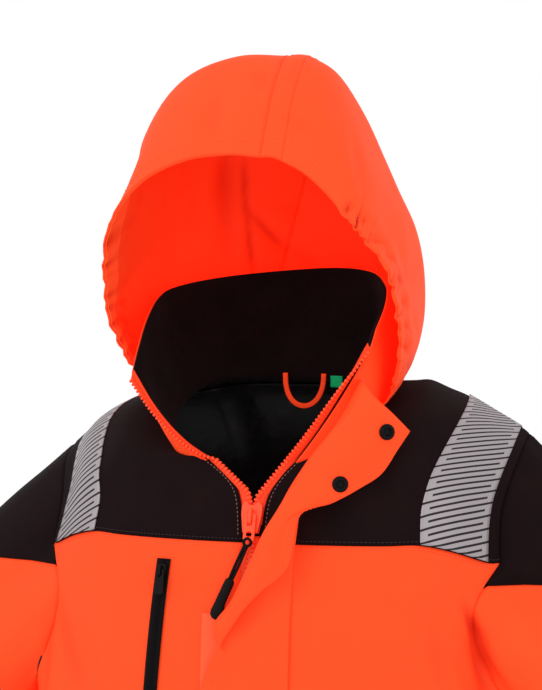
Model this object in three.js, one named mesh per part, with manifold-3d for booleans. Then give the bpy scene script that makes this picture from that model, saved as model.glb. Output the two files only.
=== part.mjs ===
// Hi-vis work jacket, worn and hollow, in millimetres. +X is the wearer's left, -Y the front and +Z up.
// The origin is the middle of the neck base, where the wearer's shoulders carry the jacket.
import * as THREE from 'three';
import { mergeVertices } from 'three/addons/utils/BufferGeometryUtils.js';
import Module from 'manifold-3d';

const wasm = await Module();
wasm.setup();

// Driving dimensions
const hemHeight = -740;
const underarmHeight = -285;
const yokeSeamHeight = -117;
const yokeSeamDrop = 19;
const backSeamHeight = -140;
const capSeamHeight = -152;
const shellThick = 1.6;
const fleeceThick = 2.4;
const tapeThick = 0.6;
const seamGap = 0.3;
const zipHalfWidth = 7;

// Grid steps shared by pieces that meet, so that both sides of a seam have the same points
const edgeRows = 2;
const neckRows = 6;
const capFrontRows = edgeRows + neckRows;
const capBackRows = 6;
const armRows = 5;
const bodyRows = 9;
const neckBackSteps = 6;
const sleeveRows = 12;
const hoodSteps = 11;
const hoodRows = 9;
const stripSteps = 3;

const vec = (p) => new THREE.Vector3(p[0], p[1], p[2]);
const mix = (a, b, t) => a + (b - a) * t;
const steps = (count) => Array.from({ length: count + 1 }, (_, i) => i / count);

// Smooth value at t from a table of rows, one column at a time
function column(rows, key, name, t) {
  let i = 0;
  while (i < rows.length - 2 && (rows[i + 1][key] - t) * Math.sign(rows[1][key] - rows[0][key]) < 0) i += 1;
  const [a, b] = [rows[i], rows[i + 1]];
  const before = rows[Math.max(i - 1, 0)];
  const after = rows[Math.min(i + 2, rows.length - 1)];
  const f = THREE.MathUtils.clamp((t - a[key]) / (b[key] - a[key]), 0, 1);
  const span = b[key] - a[key];
  const slope = (p, q) => (p === q ? 0 : ((q[name] - p[name]) / (q[key] - p[key])) * span);
  const [m0, m1] = [slope(before, b), slope(a, after)];
  const [f2, f3] = [f * f, f * f * f];
  return (2 * f3 - 3 * f2 + 1) * a[name] + (f3 - 2 * f2 + f) * m0
    + (3 * f2 - 2 * f3) * b[name] + (f3 - f2) * m1;
}

const spline = (points) => new THREE.CatmullRomCurve3(points.map(vec), false, 'centripetal');
const at = (curve, t) => curve.getPoint(THREE.MathUtils.clamp(t, 0, 1));

// Body sections below the yoke seam: half width, front and back depth of a rounded-square ring
const bodyRings = [
  { z: -100, halfWidth: 203, front: 133, back: 114, round: 2.5 },
  { z: -140, halfWidth: 210, front: 143, back: 126, round: 2.45 },
  { z: -200, halfWidth: 219, front: 153, back: 136, round: 2.4 },
  { z: -285, halfWidth: 226, front: 157, back: 141, round: 2.35 },
  { z: -400, halfWidth: 228, front: 153, back: 139, round: 2.3 },
  { z: -520, halfWidth: 227, front: 148, back: 137, round: 2.3 },
  { z: -640, halfWidth: 233, front: 149, back: 141, round: 2.3 },
  { z: -740, halfWidth: 240, front: 153, back: 146, round: 2.3 },
];
const ring = (name, z) => column(bodyRings, 'z', name, z);

// Depth of the front (side -1) or back (side 1) of the body at a place across and up
function bodyDepth(x, z, side) {
  const part = Math.min(Math.abs(x) / ring('halfWidth', z), 1);
  const power = ring('round', z);
  return side * ring(side < 0 ? 'front' : 'back', z) * (1 - part ** power) ** (1 / power);
}

// Armhole below the yoke: how far across the panels reach at each height
const armholeFront = [
  { z: -136, across: 196 },
  { z: -165, across: 182 },
  { z: -205, across: 187 },
  { z: -250, across: 208 },
  { z: -285, across: 226 },
];
const armholeBack = [
  { z: -152, across: 197 },
  { z: -180, across: 190 },
  { z: -220, across: 196 },
  { z: -258, across: 212 },
  { z: -285, across: 226 },
];

// Shoulder line of each side: places across, and height there
const shoulderLine = {
  right: [
    { across: 80, y: 8, z: 0 },
    { across: 120, y: 7, z: -5 },
    { across: 154, y: 5, z: -18 },
    { across: 176, y: 4, z: -33 },
    { across: 197, y: 4, z: -50 },
    { across: 204, y: 4, z: -57 },
  ],
  left: [
    { across: 80, y: 8, z: 6 },
    { across: 120, y: 7, z: 8 },
    { across: 154, y: 5, z: -5 },
    { across: 176, y: 4, z: -17 },
    { across: 199, y: 4, z: -30 },
    { across: 206, y: 4, z: -35 },
  ],
};
const sign = { right: -1, left: 1 };

// Front yoke columns: across the yoke seam, and along the shoulder line in parts of its runs.
// The reflective tape lies from column 5 to column 7.
const yokeColumns = [
  { seam: 7, right: 0, left: 0 },
  { seam: 32, right: 0.29, left: 1 / 3 },
  { seam: 60, right: 0.58, left: 2 / 3 },
  { seam: 88, right: 0.86, left: 1 },
  { seam: 115, right: 1.15, left: 1.5 },
  { seam: 140, right: 1.5, left: 2 },
  { seam: 164, right: 2.35, left: 3 },
  { seam: 188, right: 3.25, left: 4 },
  { seam: 196, right: 5, left: 5 },
];
const tapeColumns = [5, 7];
// Back yoke columns of one side, from the neck to the armhole
const backSeams = [78, 90, 103, 116, 129, 142, 166, 190, 197];
const backColumns = yokeColumns.map((c, i) => ({ ...c, seam: backSeams[i] }));

// Collar rows round the neck, from the wearer's right front end to the left one
const collarStations = [
  { base: [-40, -113, -53], middle: [-78, -103, -29], top: [-115, -88, 15] },
  { base: [-70, -100, -48], middle: [-99, -84, -8], top: [-118, -62, 38] },
  { base: [-88, -56, -22], middle: [-108, -42, 20], top: [-121, -22, 66] },
  { base: [-80, 8, 0], middle: [-102, 15, 41], top: [-119, 20, 80] },
  { base: [-48, 42, 3], middle: [-66, 53, 46], top: [-84, 56, 89] },
  { base: [0, 50, 3], middle: [-5, 64, 48], top: [-12, 70, 97] },
  { base: [48, 42, 4], middle: [50, 52, 50], top: [48, 56, 98] },
  { base: [80, 8, 6], middle: [83, 14, 46], top: [77, 16, 88] },
  { base: [88, -56, -20], middle: [94, -46, 24], top: [88, -30, 70] },
  { base: [68, -101, -46], middle: [86, -90, 0], top: [91, -70, 54] },
  { base: [36, -114, -52], middle: [66, -108, -9], top: [93, -92, 42] },
];
const collarLine = (row) => spline(collarStations.map((s) => s[row]));
const collarBase = collarLine('base');
const collarMiddle = collarLine('middle');
const collarTop = collarLine('top');
const neckSideRight = 0.3;
const neckSideLeft = 0.7;

// Front edges between the yoke seam and the collar, where the open zip is sewn
const frontEdge = {
  right: [[-2, -137, -117], [-3.5, -130.5, -97], [-11, -122.5, -76], [-25, -117, -62], [-40, -113, -53]],
  left: [[12, -137, -117], [12.5, -131, -98], [16, -125, -79], [24, -119, -63], [36, -114, -52]],
};

// Hood side panels: a row up each arch from the neck, for five arches from the brim to the back
const hoodArches = {
  right: [
    { neck: 0.16, foot: [-117, -58, 4], low: [-137, -68, 42], middle: [-147, -73, 92],
      high: [-133, -82, 150],
      corner: [-92, -84, 186], top: [-44, -78, 198], seam: [-6, -75, 196] },
    { neck: 0.23, foot: [-123, -36, 12], low: [-143, -38, 45], middle: [-147, -36, 100],
      high: [-130, -42, 170],
      corner: [-110, -42, 222], top: [-58, -36, 246], seam: [-8, -34, 250] },
    { neck: 0.3, foot: [-121, 4, 18], low: [-144, 6, 52], middle: [-146, 10, 108], high: [-134.5, 12, 183],
      corner: [-119.5, 14, 248], top: [-68, 16, 281], seam: [-9, 16, 283] },
    { neck: 0.36, foot: [-98, 48, 20], low: [-120, 64, 52], middle: [-126, 75, 106], high: [-117, 80, 170],
      corner: [-99, 84, 222], top: [-54, 85, 254], seam: [-11, 85, 263] },
    { neck: 0.41, foot: [-58, 78, 16], low: [-55, 106, 46], middle: [-48, 126, 92], high: [-38, 137, 142],
      corner: [-29, 138, 176], top: [-23, 136, 196], seam: [-17, 131, 213] },
  ],
  left: [
    { neck: 0.83, foot: [111, -76, 12], low: [115, -84, 60], middle: [107, -84, 101], high: [80, -82, 136],
      corner: [58, -80, 160], top: [36, -77, 180], seam: [12, -75, 193] },
    { neck: 0.77, foot: [112, -44, 16], low: [114.5, -44, 66], middle: [102, -40, 122], high: [78, -39, 168],
      corner: [62, -37, 202], top: [38, -35, 234], seam: [10, -34, 248] },
    { neck: 0.7, foot: [107, 4, 24], low: [109, 8, 76], middle: [100.5, 10, 130], high: [76.5, 12, 180],
      corner: [59.5, 14, 216], top: [36, 16, 263], seam: [9, 16, 282] },
    { neck: 0.64, foot: [92, 48, 24], low: [100, 62, 74], middle: [92, 72, 124], high: [72, 78, 168],
      corner: [55, 81, 204], top: [32, 84, 245], seam: [10, 85, 262] },
    { neck: 0.59, foot: [58, 78, 18], low: [54, 104, 50], middle: [45, 124, 96], high: [34, 134, 144],
      corner: [27, 136, 176], top: [21, 135, 196], seam: [15, 131, 212] },
  ],
};

// Sleeve rings from under the arm to the cuff: centre, half widths, and lean from upright in degrees
const sleeveRings = [
  { across: 293, y: -4, z: -284, halfWide: 60, halfDeep: 84, lean: 18 },
  { across: 324, y: -8, z: -425, halfWide: 57, halfDeep: 74, lean: 14 },
  { across: 352, y: -26, z: -556, halfWide: 52, halfDeep: 62, lean: 13 },
  { across: 376, y: -50, z: -664, halfWide: 46, halfDeep: 52, lean: 12 },
];
const capBulge = 24;

// Soft creases: a trough (negative) or ridge runs between two points and fades to its ends
const creases = [
  { from: [-176, -104, -170], to: [-120, -150, -330], wide: 22, deep: -7 },
  { from: [-196, -80, -215], to: [-150, -130, -420], wide: 26, deep: 6 },
  { from: [178, -104, -168], to: [196, -88, -300], wide: 20, deep: -9 },
  { from: [186, -96, -200], to: [130, -148, -380], wide: 26, deep: 6 },
  { from: [-120, -150, -420], to: [-150, -130, -700], wide: 30, deep: -7 },
  { from: [118, -150, -430], to: [140, -136, -700], wide: 30, deep: -7 },
  { from: [-90, -150, -480], to: [-96, -152, -735], wide: 24, deep: 5 },
  { from: [-180, 84, -200], to: [-90, 138, -420], wide: 28, deep: -8 },
  { from: [180, 84, -200], to: [96, 138, -430], wide: 28, deep: -8 },
  { from: [-60, 138, -300], to: [-130, 120, -700], wide: 34, deep: 7 },
  { from: [70, 138, -320], to: [140, 118, -690], wide: 34, deep: 7 },
  { from: [0, 140, -420], to: [10, 145, -735], wide: 30, deep: -6 },
  { from: [-262, -74, -300], to: [-350, -70, -420], wide: 18, deep: -7 },
  { from: [-300, -84, -420], to: [-392, -30, -500], wide: 20, deep: -8 },
  { from: [-286, 40, -460], to: [-396, 10, -560], wide: 18, deep: -7 },
  { from: [-345, -86, -560], to: [-404, -50, -620], wide: 15, deep: -6 },
  { from: [262, -74, -310], to: [352, -70, -410], wide: 18, deep: -7 },
  { from: [296, -84, -430], to: [390, -40, -520], wide: 20, deep: -8 },
  { from: [288, 44, -450], to: [396, 10, -540], wide: 18, deep: -7 },
  { from: [342, -86, -570], to: [404, -50, -630], wide: 15, deep: -6 },
  { from: [-150, -80, 84], to: [-134, 40, 120], wide: 15, deep: -6 },
  { from: [-146, -80, 60], to: [-140, 10, 52], wide: 11, deep: 5 },
  { from: [116, -84, 76], to: [110, 30, 110], wide: 13, deep: -6 },
  { from: [118, -80, 46], to: [112, 20, 44], wide: 11, deep: 5 },
  { from: [96, -80, 118], to: [84, 40, 176], wide: 15, deep: -5 },
  { from: [-120, -80, 172], to: [-130, 20, 214], wide: 20, deep: 4 },
];
const creaseLines = creases.map((c) => ({ ...c, line: new THREE.Line3(vec(c.from), vec(c.to)) }));

function creaseDepth(p) {
  const near = new THREE.Vector3();
  let depth = 0;
  for (const c of creaseLines) {
    const along = c.line.closestPointToPointParameter(p, true);
    c.line.at(along, near);
    const fade = Math.sin(Math.PI * mix(0.12, 0.88, along)) ** 2;
    depth += c.deep * fade * Math.exp(-((near.distanceTo(p) / c.wide) ** 2));
  }
  return depth;
}

// A grid of points: rows of equal length, and whether each row closes on itself
function grid(rows, cols, place, closed = false) {
  const points = [];
  for (let j = 0; j <= rows; j += 1) {
    const row = [];
    for (let i = 0; i < (closed ? cols : cols + 1); i += 1) row.push(place(i, j));
    points.push(row);
  }
  return { points, closed };
}

const spot = (p) => `${p.x.toFixed(2)},${p.y.toFixed(2)},${p.z.toFixed(2)}`;

// Normals shared by all the grids that meet, so that walls on both sides of a seam stand alike
function addNormals(grids) {
  const sums = new Map();
  const cross = new THREE.Vector3();
  const side = new THREE.Vector3();
  for (const g of grids) {
    const wide = g.points[0].length;
    for (let j = 0; j + 1 < g.points.length; j += 1) {
      for (let i = 0; i < (g.closed ? wide : wide - 1); i += 1) {
        const corners = [g.points[j][i], g.points[j][(i + 1) % wide], g.points[j + 1][(i + 1) % wide],
          g.points[j + 1][i]];
        cross.subVectors(corners[2], corners[0]).cross(side.subVectors(corners[3], corners[1]));
        for (const p of corners) {
          const key = spot(p);
          sums.set(key, (sums.get(key) ?? new THREE.Vector3()).add(cross));
        }
      }
    }
  }
  for (const g of grids) g.normals = g.points.map((row) =>
    row.map((p) => sums.get(spot(p)).clone().normalize()));
  return grids;
}

// Moves every point of the grids out or in by the creases there
function crease(grids) {
  addNormals(grids);
  for (const g of grids) {
    g.points = g.points.map((row, j) => row.map((p, i) =>
      p.clone().addScaledVector(g.normals[j][i], creaseDepth(p))));
  }
  return addNormals(grids);
}

function geometryOf(positions, indices) {
  const geometry = new THREE.BufferGeometry();
  geometry.setAttribute('position', new THREE.Float32BufferAttribute(positions, 3));
  geometry.setIndex(indices);
  return geometry;
}

// Closed wall between two distances from a grid, drawn in at its free sides
function wall(g, low, high, inset = {}, turned = false) {
  const [tall, wide] = [g.points.length, g.points[0].length];
  const positions = [];
  const pull = (i, j) => {
    const shift = new THREE.Vector3();
    const towards = (other, distance) => {
      if (distance) shift.addScaledVector(other.clone().sub(g.points[j][i]).normalize(), distance);
    };
    if (j === 0) towards(g.points[1][i], inset.start);
    if (j === tall - 1) towards(g.points[tall - 2][i], inset.end);
    if (!g.closed && i === 0) towards(g.points[j][1], inset.left);
    if (!g.closed && i === wide - 1) towards(g.points[j][wide - 2], inset.right);
    return shift;
  };
  for (const distance of [high, low]) {
    for (let j = 0; j < tall; j += 1) {
      for (let i = 0; i < wide; i += 1) {
        const p = g.points[j][i].clone().add(pull(i, j)).addScaledVector(g.normals[j][i], distance);
        positions.push(p.x, p.y, p.z);
      }
    }
  }
  const indices = [];
  const last = tall * wide;
  const id = (layer, i, j) => layer * last + j * wide + (i % wide);
  const quad = (a, b, c, d) => indices.push(a, b, c, a, c, d);
  const face = (a, b, c, d) => (turned ? quad(b, c, d, a) : quad(a, b, c, d));
  const across = g.closed ? wide : wide - 1;
  for (let j = 0; j + 1 < tall; j += 1) {
    for (let i = 0; i < across; i += 1) {
      face(id(0, i, j), id(0, i + 1, j), id(0, i + 1, j + 1), id(0, i, j + 1));
      face(id(1, i, j), id(1, i, j + 1), id(1, i + 1, j + 1), id(1, i + 1, j));
    }
  }
  for (let i = 0; i < across; i += 1) {
    quad(id(0, i, 0), id(1, i, 0), id(1, i + 1, 0), id(0, i + 1, 0));
    quad(id(0, i, tall - 1), id(0, i + 1, tall - 1), id(1, i + 1, tall - 1), id(1, i, tall - 1));
  }
  if (!g.closed) {
    for (let j = 0; j + 1 < tall; j += 1) {
      quad(id(0, 0, j), id(0, 0, j + 1), id(1, 0, j + 1), id(1, 0, j));
      quad(id(0, wide - 1, j), id(1, wide - 1, j), id(1, wide - 1, j + 1), id(0, wide - 1, j + 1));
    }
  }
  return geometryOf(positions, indices);
}

// Shoulder line point of a side, counted in runs of its table
function shoulderPoint(side, run) {
  const table = shoulderLine[side];
  const i = Math.min(Math.floor(run), table.length - 2);
  const [a, b] = [table[i], table[i + 1]];
  const f = run - i;
  return new THREE.Vector3(sign[side] * mix(a.across, b.across, f), mix(a.y, b.y, f), mix(a.z, b.z, f));
}

const seamHeight = (across) => yokeSeamHeight - yokeSeamDrop * THREE.MathUtils.smoothstep(across, 142, 200);
const backHeight = (across) => backSeamHeight - 12 * THREE.MathUtils.smoothstep(across, 120, 200);
const onBody = (x, z, side) => new THREE.Vector3(x, bodyDepth(x, z, side), z);
// The centre front leans a little towards the wearer's left on its way up
const zipLean = 5;
const zipCentre = (z) => zipLean * THREE.MathUtils.smoothstep(z, -340, yokeSeamHeight);

// Upper armhole from the yoke seam to the shoulder point, in front (face -1) or behind (face 1)
function upperArmhole(side, face) {
  const s = sign[side];
  const start = face < 0 ? onBody(s * 196, seamHeight(196), -1) : onBody(s * 197, backHeight(197), 1);
  const end = shoulderPoint(side, 5);
  const bow = face < 0
    ? [mix(start.x, end.x, 0.35) - s * 5, mix(start.y, end.y, 0.3) - 8, mix(start.z, end.z, 0.42)]
    : [mix(start.x, end.x, 0.35) - s * 4, mix(start.y, end.y, 0.3) + 8, mix(start.z, end.z, 0.46)];
  const high = [mix(start.x, end.x, 0.8), mix(start.y, end.y, 0.72) + face * 5, mix(start.z, end.z, 0.86)];
  return spline([start.toArray(), bow, high, end.toArray()]);
}

// Blends four border curves into a patch, with a bulge in the middle
function patch(rows, cols, borders, bulge) {
  return grid(rows, cols, (i, j) => {
    const [u, v] = [borders.part ? borders.part(i) : i / cols, j / rows];
    const [start, end] = [borders.start(i), borders.end(i)];
    const plain = start.clone().lerp(end, v);
    const leftFix = borders.left(j).clone().sub(borders.start(0).lerp(borders.end(0), v));
    const rightFix = borders.right(j).clone().sub(borders.start(cols).lerp(borders.end(cols), v));
    plain.addScaledVector(leftFix, 1 - u).addScaledVector(rightFix, u);
    return plain.addScaledVector(bulge, 16 * u * (1 - u) * v * (1 - v));
  });
}

function neckPoint(t) {
  return at(collarBase, t);
}

// Front yoke from the yoke seam (start) to the shoulder line (end), from the opening to the armhole
function frontYoke(side) {
  const s = sign[side];
  const edge = spline(frontEdge[side]);
  const arm = upperArmhole(side, -1);
  const cols = yokeColumns.length - 1;
  const inner = (j) => {
    if (j <= edgeRows) return at(edge, j / edgeRows);
    const t = (j - edgeRows) / neckRows;
    return side === 'right' ? neckPoint(mix(0, neckSideRight, t)) : neckPoint(mix(1, neckSideLeft, t));
  };
  return patch(capFrontRows, cols, {
    start: (i) => (i === 0 ? inner(0)
      : onBody(s * yokeColumns[i].seam, seamHeight(yokeColumns[i].seam), -1)),
    end: (i) => (i === 0 ? inner(capFrontRows) : shoulderPoint(side, yokeColumns[i][side])),
    left: inner,
    right: (j) => at(arm, j / capFrontRows),
    part: (i) => (yokeColumns[i].seam - yokeColumns[0].seam)
      / (yokeColumns[cols].seam - yokeColumns[0].seam),
  }, new THREE.Vector3(0, -6, 9));
}

// Front panel from the yoke seam to the hem, from the zip to the armhole and the side seam
function frontPanel(side, yoke) {
  const s = sign[side];
  const cols = yokeColumns.length - 1;
  const reach = yokeColumns.map((c) => c.seam / yokeColumns[cols].seam);
  return grid(armRows + bodyRows, cols, (i, j) => {
    if (j === 0) return yoke.points[0][i].clone();
    const low = j > armRows ? (j - armRows) / bodyRows : 0;
    const sideHeight = j <= armRows ? mix(seamHeight(196), underarmHeight, j / armRows)
      : mix(underarmHeight, hemHeight, low);
    const centreHeight = mix(yokeSeamHeight, hemHeight,
      (yokeSeamHeight - sideHeight - yokeSeamDrop * (1 - low)
      * (1 - j / (armRows + bodyRows))) / (yokeSeamHeight - hemHeight));
    const z = mix(centreHeight, sideHeight, THREE.MathUtils.smoothstep(reach[i], 0.6, 1));
    const widest = j <= armRows ? column(armholeFront, 'z', 'across', sideHeight)
      : ring('halfWidth', sideHeight);
    if (i === 0) return onBody(s * zipHalfWidth + zipCentre(z), z, -1);
    const x = i === cols ? widest : mix(zipHalfWidth, widest, spread(reach[i], j));
    return onBody(s * x, z, -1);
  });
}

// Columns crowd towards the side seam further down, where the body turns away
function spread(part, row) {
  const low = THREE.MathUtils.clamp((row - 2) / armRows, 0, 1);
  return mix(part, Math.sin((part * Math.PI) / 2), low * 0.75);
}

// Back columns across the whole back: right armhole, right shoulder, neck, left shoulder, left armhole
function backSeats() {
  const right = [...backColumns].reverse().map((c) => ({ seam: -c.seam, side: 'right',
    shoulder: c.right }));
  const left = backColumns.map((c) => ({ seam: c.seam, side: 'left', shoulder: c.left }));
  const neck = steps(neckBackSteps).slice(1, -1).map((t) => ({ seam: mix(-backSeams[0], backSeams[0], t),
    neck: t }));
  return [...right, ...neck, ...left];
}
const seats = backSeats();

// Back yoke from its seam (start) up to the shoulder lines and the neck (end)
function backYoke() {
  const cols = seats.length - 1;
  const arms = { right: upperArmhole('right', 1), left: upperArmhole('left', 1) };
  return patch(capBackRows, cols, {
    start: (i) => onBody(seats[i].seam, backHeight(Math.abs(seats[i].seam)), 1),
    end: (i) => (seats[i].side ? shoulderPoint(seats[i].side, seats[i].shoulder)
      : neckPoint(mix(neckSideRight, neckSideLeft, seats[i].neck))),
    left: (j) => at(arms.right, j / capBackRows),
    right: (j) => at(arms.left, j / capBackRows),
  }, new THREE.Vector3(0, 14, 8));
}

function backPanel() {
  const cols = seats.length - 1;
  return grid(armRows + bodyRows, cols, (i, j) => {
    const part = seats[i].seam / seats[cols].seam;
    const low = j > armRows ? (j - armRows) / bodyRows : 0;
    const sideHeight = j <= armRows ? mix(backHeight(197), underarmHeight, j / armRows)
      : mix(underarmHeight, hemHeight, low);
    const centreHeight = mix(backSeamHeight, hemHeight,
      (backHeight(197) - sideHeight) / (backHeight(197) - hemHeight));
    const z = j === 0 ? backHeight(Math.abs(seats[i].seam))
      : mix(centreHeight, sideHeight, THREE.MathUtils.smoothstep(Math.abs(part), 0.6, 1));
    const widest = j <= armRows ? column(armholeBack, 'z', 'across', sideHeight)
      : ring('halfWidth', sideHeight);
    const x = j === 0 ? seats[i].seam : Math.sign(part) * widest * spread(Math.abs(part), j);
    return onBody(x, z, 1);
  });
}

// Armhole loop of a side in the order of the sleeve's columns: shoulder, front, underarm, back
function armholeLoop(side, front, back, yokeFront, yokeBack) {
  const backCol = side === 'right' ? 0 : seats.length - 1;
  const frontCol = yokeColumns.length - 1;
  const loop = [];
  for (let j = capFrontRows; j > 0; j -= 1) loop.push({ p: yokeFront.points[j][frontCol],
    turn: 75 * (1 - j / capFrontRows) });
  for (let j = 0; j < armRows; j += 1) loop.push({ p: front.points[j][frontCol],
    turn: mix(75, 180, j / armRows) });
  for (let j = armRows; j > 0; j -= 1) loop.push({ p: back.points[j][backCol],
    turn: mix(285, 180, j / armRows) });
  for (let j = 0; j < capBackRows; j += 1) loop.push({ p: yokeBack.points[j][backCol],
    turn: mix(285, 360, j / capBackRows) });
  return loop;
}

// Runs along a sleeve from the armhole point of each column to the cuff
function sleeveRuns(side, loop) {
  const s = sign[side];
  return loop.map(({ p, turn }) => {
    const angle = THREE.MathUtils.degToRad(turn);
    const rings = sleeveRings.map((r) => {
      const lean = THREE.MathUtils.degToRad(r.lean);
      const out = r.halfWide * Math.cos(angle);
      return [s * (r.across + out * Math.cos(lean)), r.y - r.halfDeep * Math.sin(angle),
        r.z + out * Math.sin(lean)];
    });
    const half = p.clone().lerp(vec(rings[0]), 0.5);
    const lift = capBulge * Math.max(Math.cos(angle / 2) ** 2, 0) * Math.abs(Math.cos(angle / 2));
    half.add(new THREE.Vector3(s * lift, 0, lift * 0.6));
    return spline([p.toArray(), half.toArray(), ...rings]);
  });
}

// Where a run along the sleeve passes a height
function passes(run, height) {
  let [low, high] = [0, 0.5];
  for (let k = 0; k < 24; k += 1) {
    const middle = (low + high) / 2;
    if (at(run, middle).z > height) low = middle;
    else high = middle;
  }
  return low;
}

function sleeveGrids(side, loop) {
  const runs = sleeveRuns(side, loop);
  const least = 0.006;
  const capColumns = [];
  const [capFirst, capLast] = [loop.length - capBackRows, loop.length + capFrontRows];
  for (let i = capFirst; i <= capLast; i += 1) capColumns.push(i % loop.length);
  const seam = runs.map((run, i) => {
    if (!capColumns.includes(i)) return 0;
    return Math.max(passes(run, capSeamHeight), least);
  });
  const capRows = 4;
  const cap = grid(capRows, capColumns.length - 1, (i, j) => {
    const c = capColumns[i];
    return j === 0 ? loop[c].p.clone() : at(runs[c], (seam[c] * j) / capRows);
  });
  const sleeve = grid(sleeveRows, loop.length, (i, j) => {
    if (j === 0 && seam[i] === 0) return loop[i].p.clone();
    return at(runs[i], mix(seam[i], 1, (j / sleeveRows) ** 1.1));
  }, true);
  return { cap, sleeve };
}

// Grids of the whole body shell, with normals that agree at every seam
const yokeRight = frontYoke('right');
const yokeLeft = frontYoke('left');
const frontRight = frontPanel('right', yokeRight);
const frontLeft = frontPanel('left', yokeLeft);
const yokeBack = backYoke();
const back = backPanel();
const armRight = sleeveGrids('right', armholeLoop('right', frontRight, back, yokeRight, yokeBack));
const armLeft = sleeveGrids('left', armholeLoop('left', frontLeft, back, yokeLeft, yokeBack));

// Rows and columns turn so that every normal points away from the wearer
const flipped = (g) => ({ points: g.points.map((row) => [...row].reverse()), closed: g.closed });
const shell = {
  yokeRight: flipped(yokeRight),
  yokeLeft,
  frontRight,
  frontLeft: flipped(frontLeft),
  yokeBack: flipped(yokeBack),
  back,
  capRight: flipped(armRight.cap),
  capLeft: armLeft.cap,
  sleeveRight: flipped(armRight.sleeve),
  sleeveLeft: armLeft.sleeve,
};
crease(Object.values(shell));

const material = (color, roughness, metalness = 0) =>
  new THREE.MeshStandardMaterial({ color, roughness, metalness });
const orange = () => material(0xff4a1c, 0.62);
const black = () => material(0x171214, 0.8);

const jacket = new THREE.Group();
function add(name, geometry, finish) {
  const mesh = new THREE.Mesh(geometry, finish);
  mesh.name = name;
  jacket.add(mesh);
  return mesh;
}

const half = seamGap / 2;
const all = { start: half, end: half, left: half, right: half };

// Collar sheet from the wearer's right front end round to the left one, standing up from the neck seam
const collarRows = 4;
const collarSteps = 2 * neckRows + neckBackSteps;

function collarPoint(t, v) {
  const [low, middle, high] = [at(collarBase, t), at(collarMiddle, t), at(collarTop, t)];
  return low.multiplyScalar((1 - v) * (1 - 2 * v)).addScaledVector(middle, 4 * v * (1 - v))
    .addScaledVector(high, v * (2 * v - 1));
}

// A point on the collar moved out along its normal
function onCollar(t, v, out) {
  const step = 0.01;
  const along = collarPoint(Math.min(t + step, 1), v).sub(collarPoint(Math.max(t - step, 0), v));
  const up = collarPoint(t, Math.min(v + step, 1)).sub(collarPoint(t, Math.max(v - step, 0)));
  return collarPoint(t, v).addScaledVector(up.cross(along).normalize(), out);
}

function collarAt(i) {
  if (i <= neckRows) return mix(0, neckSideRight, i / neckRows);
  if (i >= neckRows + neckBackSteps) return mix(neckSideLeft, 1, (i - neckRows - neckBackSteps) / neckRows);
  return mix(neckSideRight, neckSideLeft, (i - neckRows) / neckBackSteps);
}

function buildCollar() {
  const collar = flipped(grid(collarRows, collarSteps, (i, j) => collarPoint(collarAt(i), j / collarRows)));
  addNormals([collar]);
  add('collar_inner', wall(collar, -fleeceThick, 0, { ...all, start: 0.6 }), material(0x120d0f, 0.95));
  add('collar_outer', wall(collar, seamGap * 1.6, seamGap * 1.6 + shellThick,
    { start: 3.6, end: half, left: 1, right: 1 }), orange());
  return collar;
}

// Hood panels from arches; the neck ends lie against the outside of the collar
const hoodStand = 4.1;
const hoodNeckHeight = 0.13;

function hoodPanel(side) {
  const names = ['foot', 'low', 'middle', 'high', 'corner', 'top', 'seam'];
  const arches = hoodArches[side].map((arch) => spline([
    onCollar(arch.neck, hoodNeckHeight, hoodStand).toArray(), ...names.map((name) => arch[name])]));
  const rows = steps(hoodRows).map((v) => spline(arches.map((arch) => at(arch, v).toArray())));
  return grid(hoodRows, hoodSteps, (i, j) => at(rows[j], i / hoodSteps));
}

// Centre strip: from the brim over the crown between the panels, then down the back to the neck
function hoodStrip(right, left) {
  const crown = 1.5;
  const nape = 9;
  return grid(hoodSteps + hoodRows, stripSteps, (i, k) => {
    const [row, col] = k <= hoodSteps ? [hoodRows, k] : [hoodRows - (k - hoodSteps), hoodSteps];
    const t = i / stripSteps;
    const p = right.points[row][col].clone().lerp(left.points[row][col], t);
    const down = THREE.MathUtils.clamp((k - hoodSteps) / hoodRows, 0, 1);
    return p.add(new THREE.Vector3(0, nape * down, crown * (1 - down)).multiplyScalar(4 * t * (1 - t)));
  });
}

function buildHood() {
  const right = hoodPanel('right');
  const left = hoodPanel('left');
  const grids = { right: flipped(right), left, strip: hoodStrip(right, left) };
  crease(Object.values(grids));
  add('hood_right', wall(grids.right, -shellThick, 0, all), orange());
  add('hood_left', wall(grids.left, -shellThick, 0, all), orange());
  add('hood_center', wall(grids.strip, -shellThick, 0, all), orange());
  const facingSteps = 2;
  const seats = [
    ...grids.right.points.map((row, j) => [j, 'right']),
    ...steps(stripSteps).slice(1, -1).map((t, i) => [i + 1, 'strip']),
    ...grids.left.points.map((row, j) => [hoodRows - j, 'left']),
  ];
  const pick = (list, [index, name], w) => {
    if (name === 'right') return list.right[index][hoodSteps - w];
    return name === 'left' ? list.left[index][w] : list.strip[w][index];
  };
  const pull = (name) => Object.fromEntries(Object.entries(grids).map(([key, g]) => [key, g[name]]));
  const [points, normals] = [pull('points'), pull('normals')];
  const facing = { points: [], normals: [] };
  for (let w = 0; w <= facingSteps; w += 1) {
    facing.points.push(seats.slice(1, -1).map((seat) => pick(points, seat, w).clone()));
    facing.normals.push(seats.slice(1, -1).map((seat) => pick(normals, seat, w)));
  }
  add('hood_facing', wall(facing, -shellThick - seamGap - 1.1, -shellThick - seamGap, { start: 0.6 },
    true), orange());
}

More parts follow.
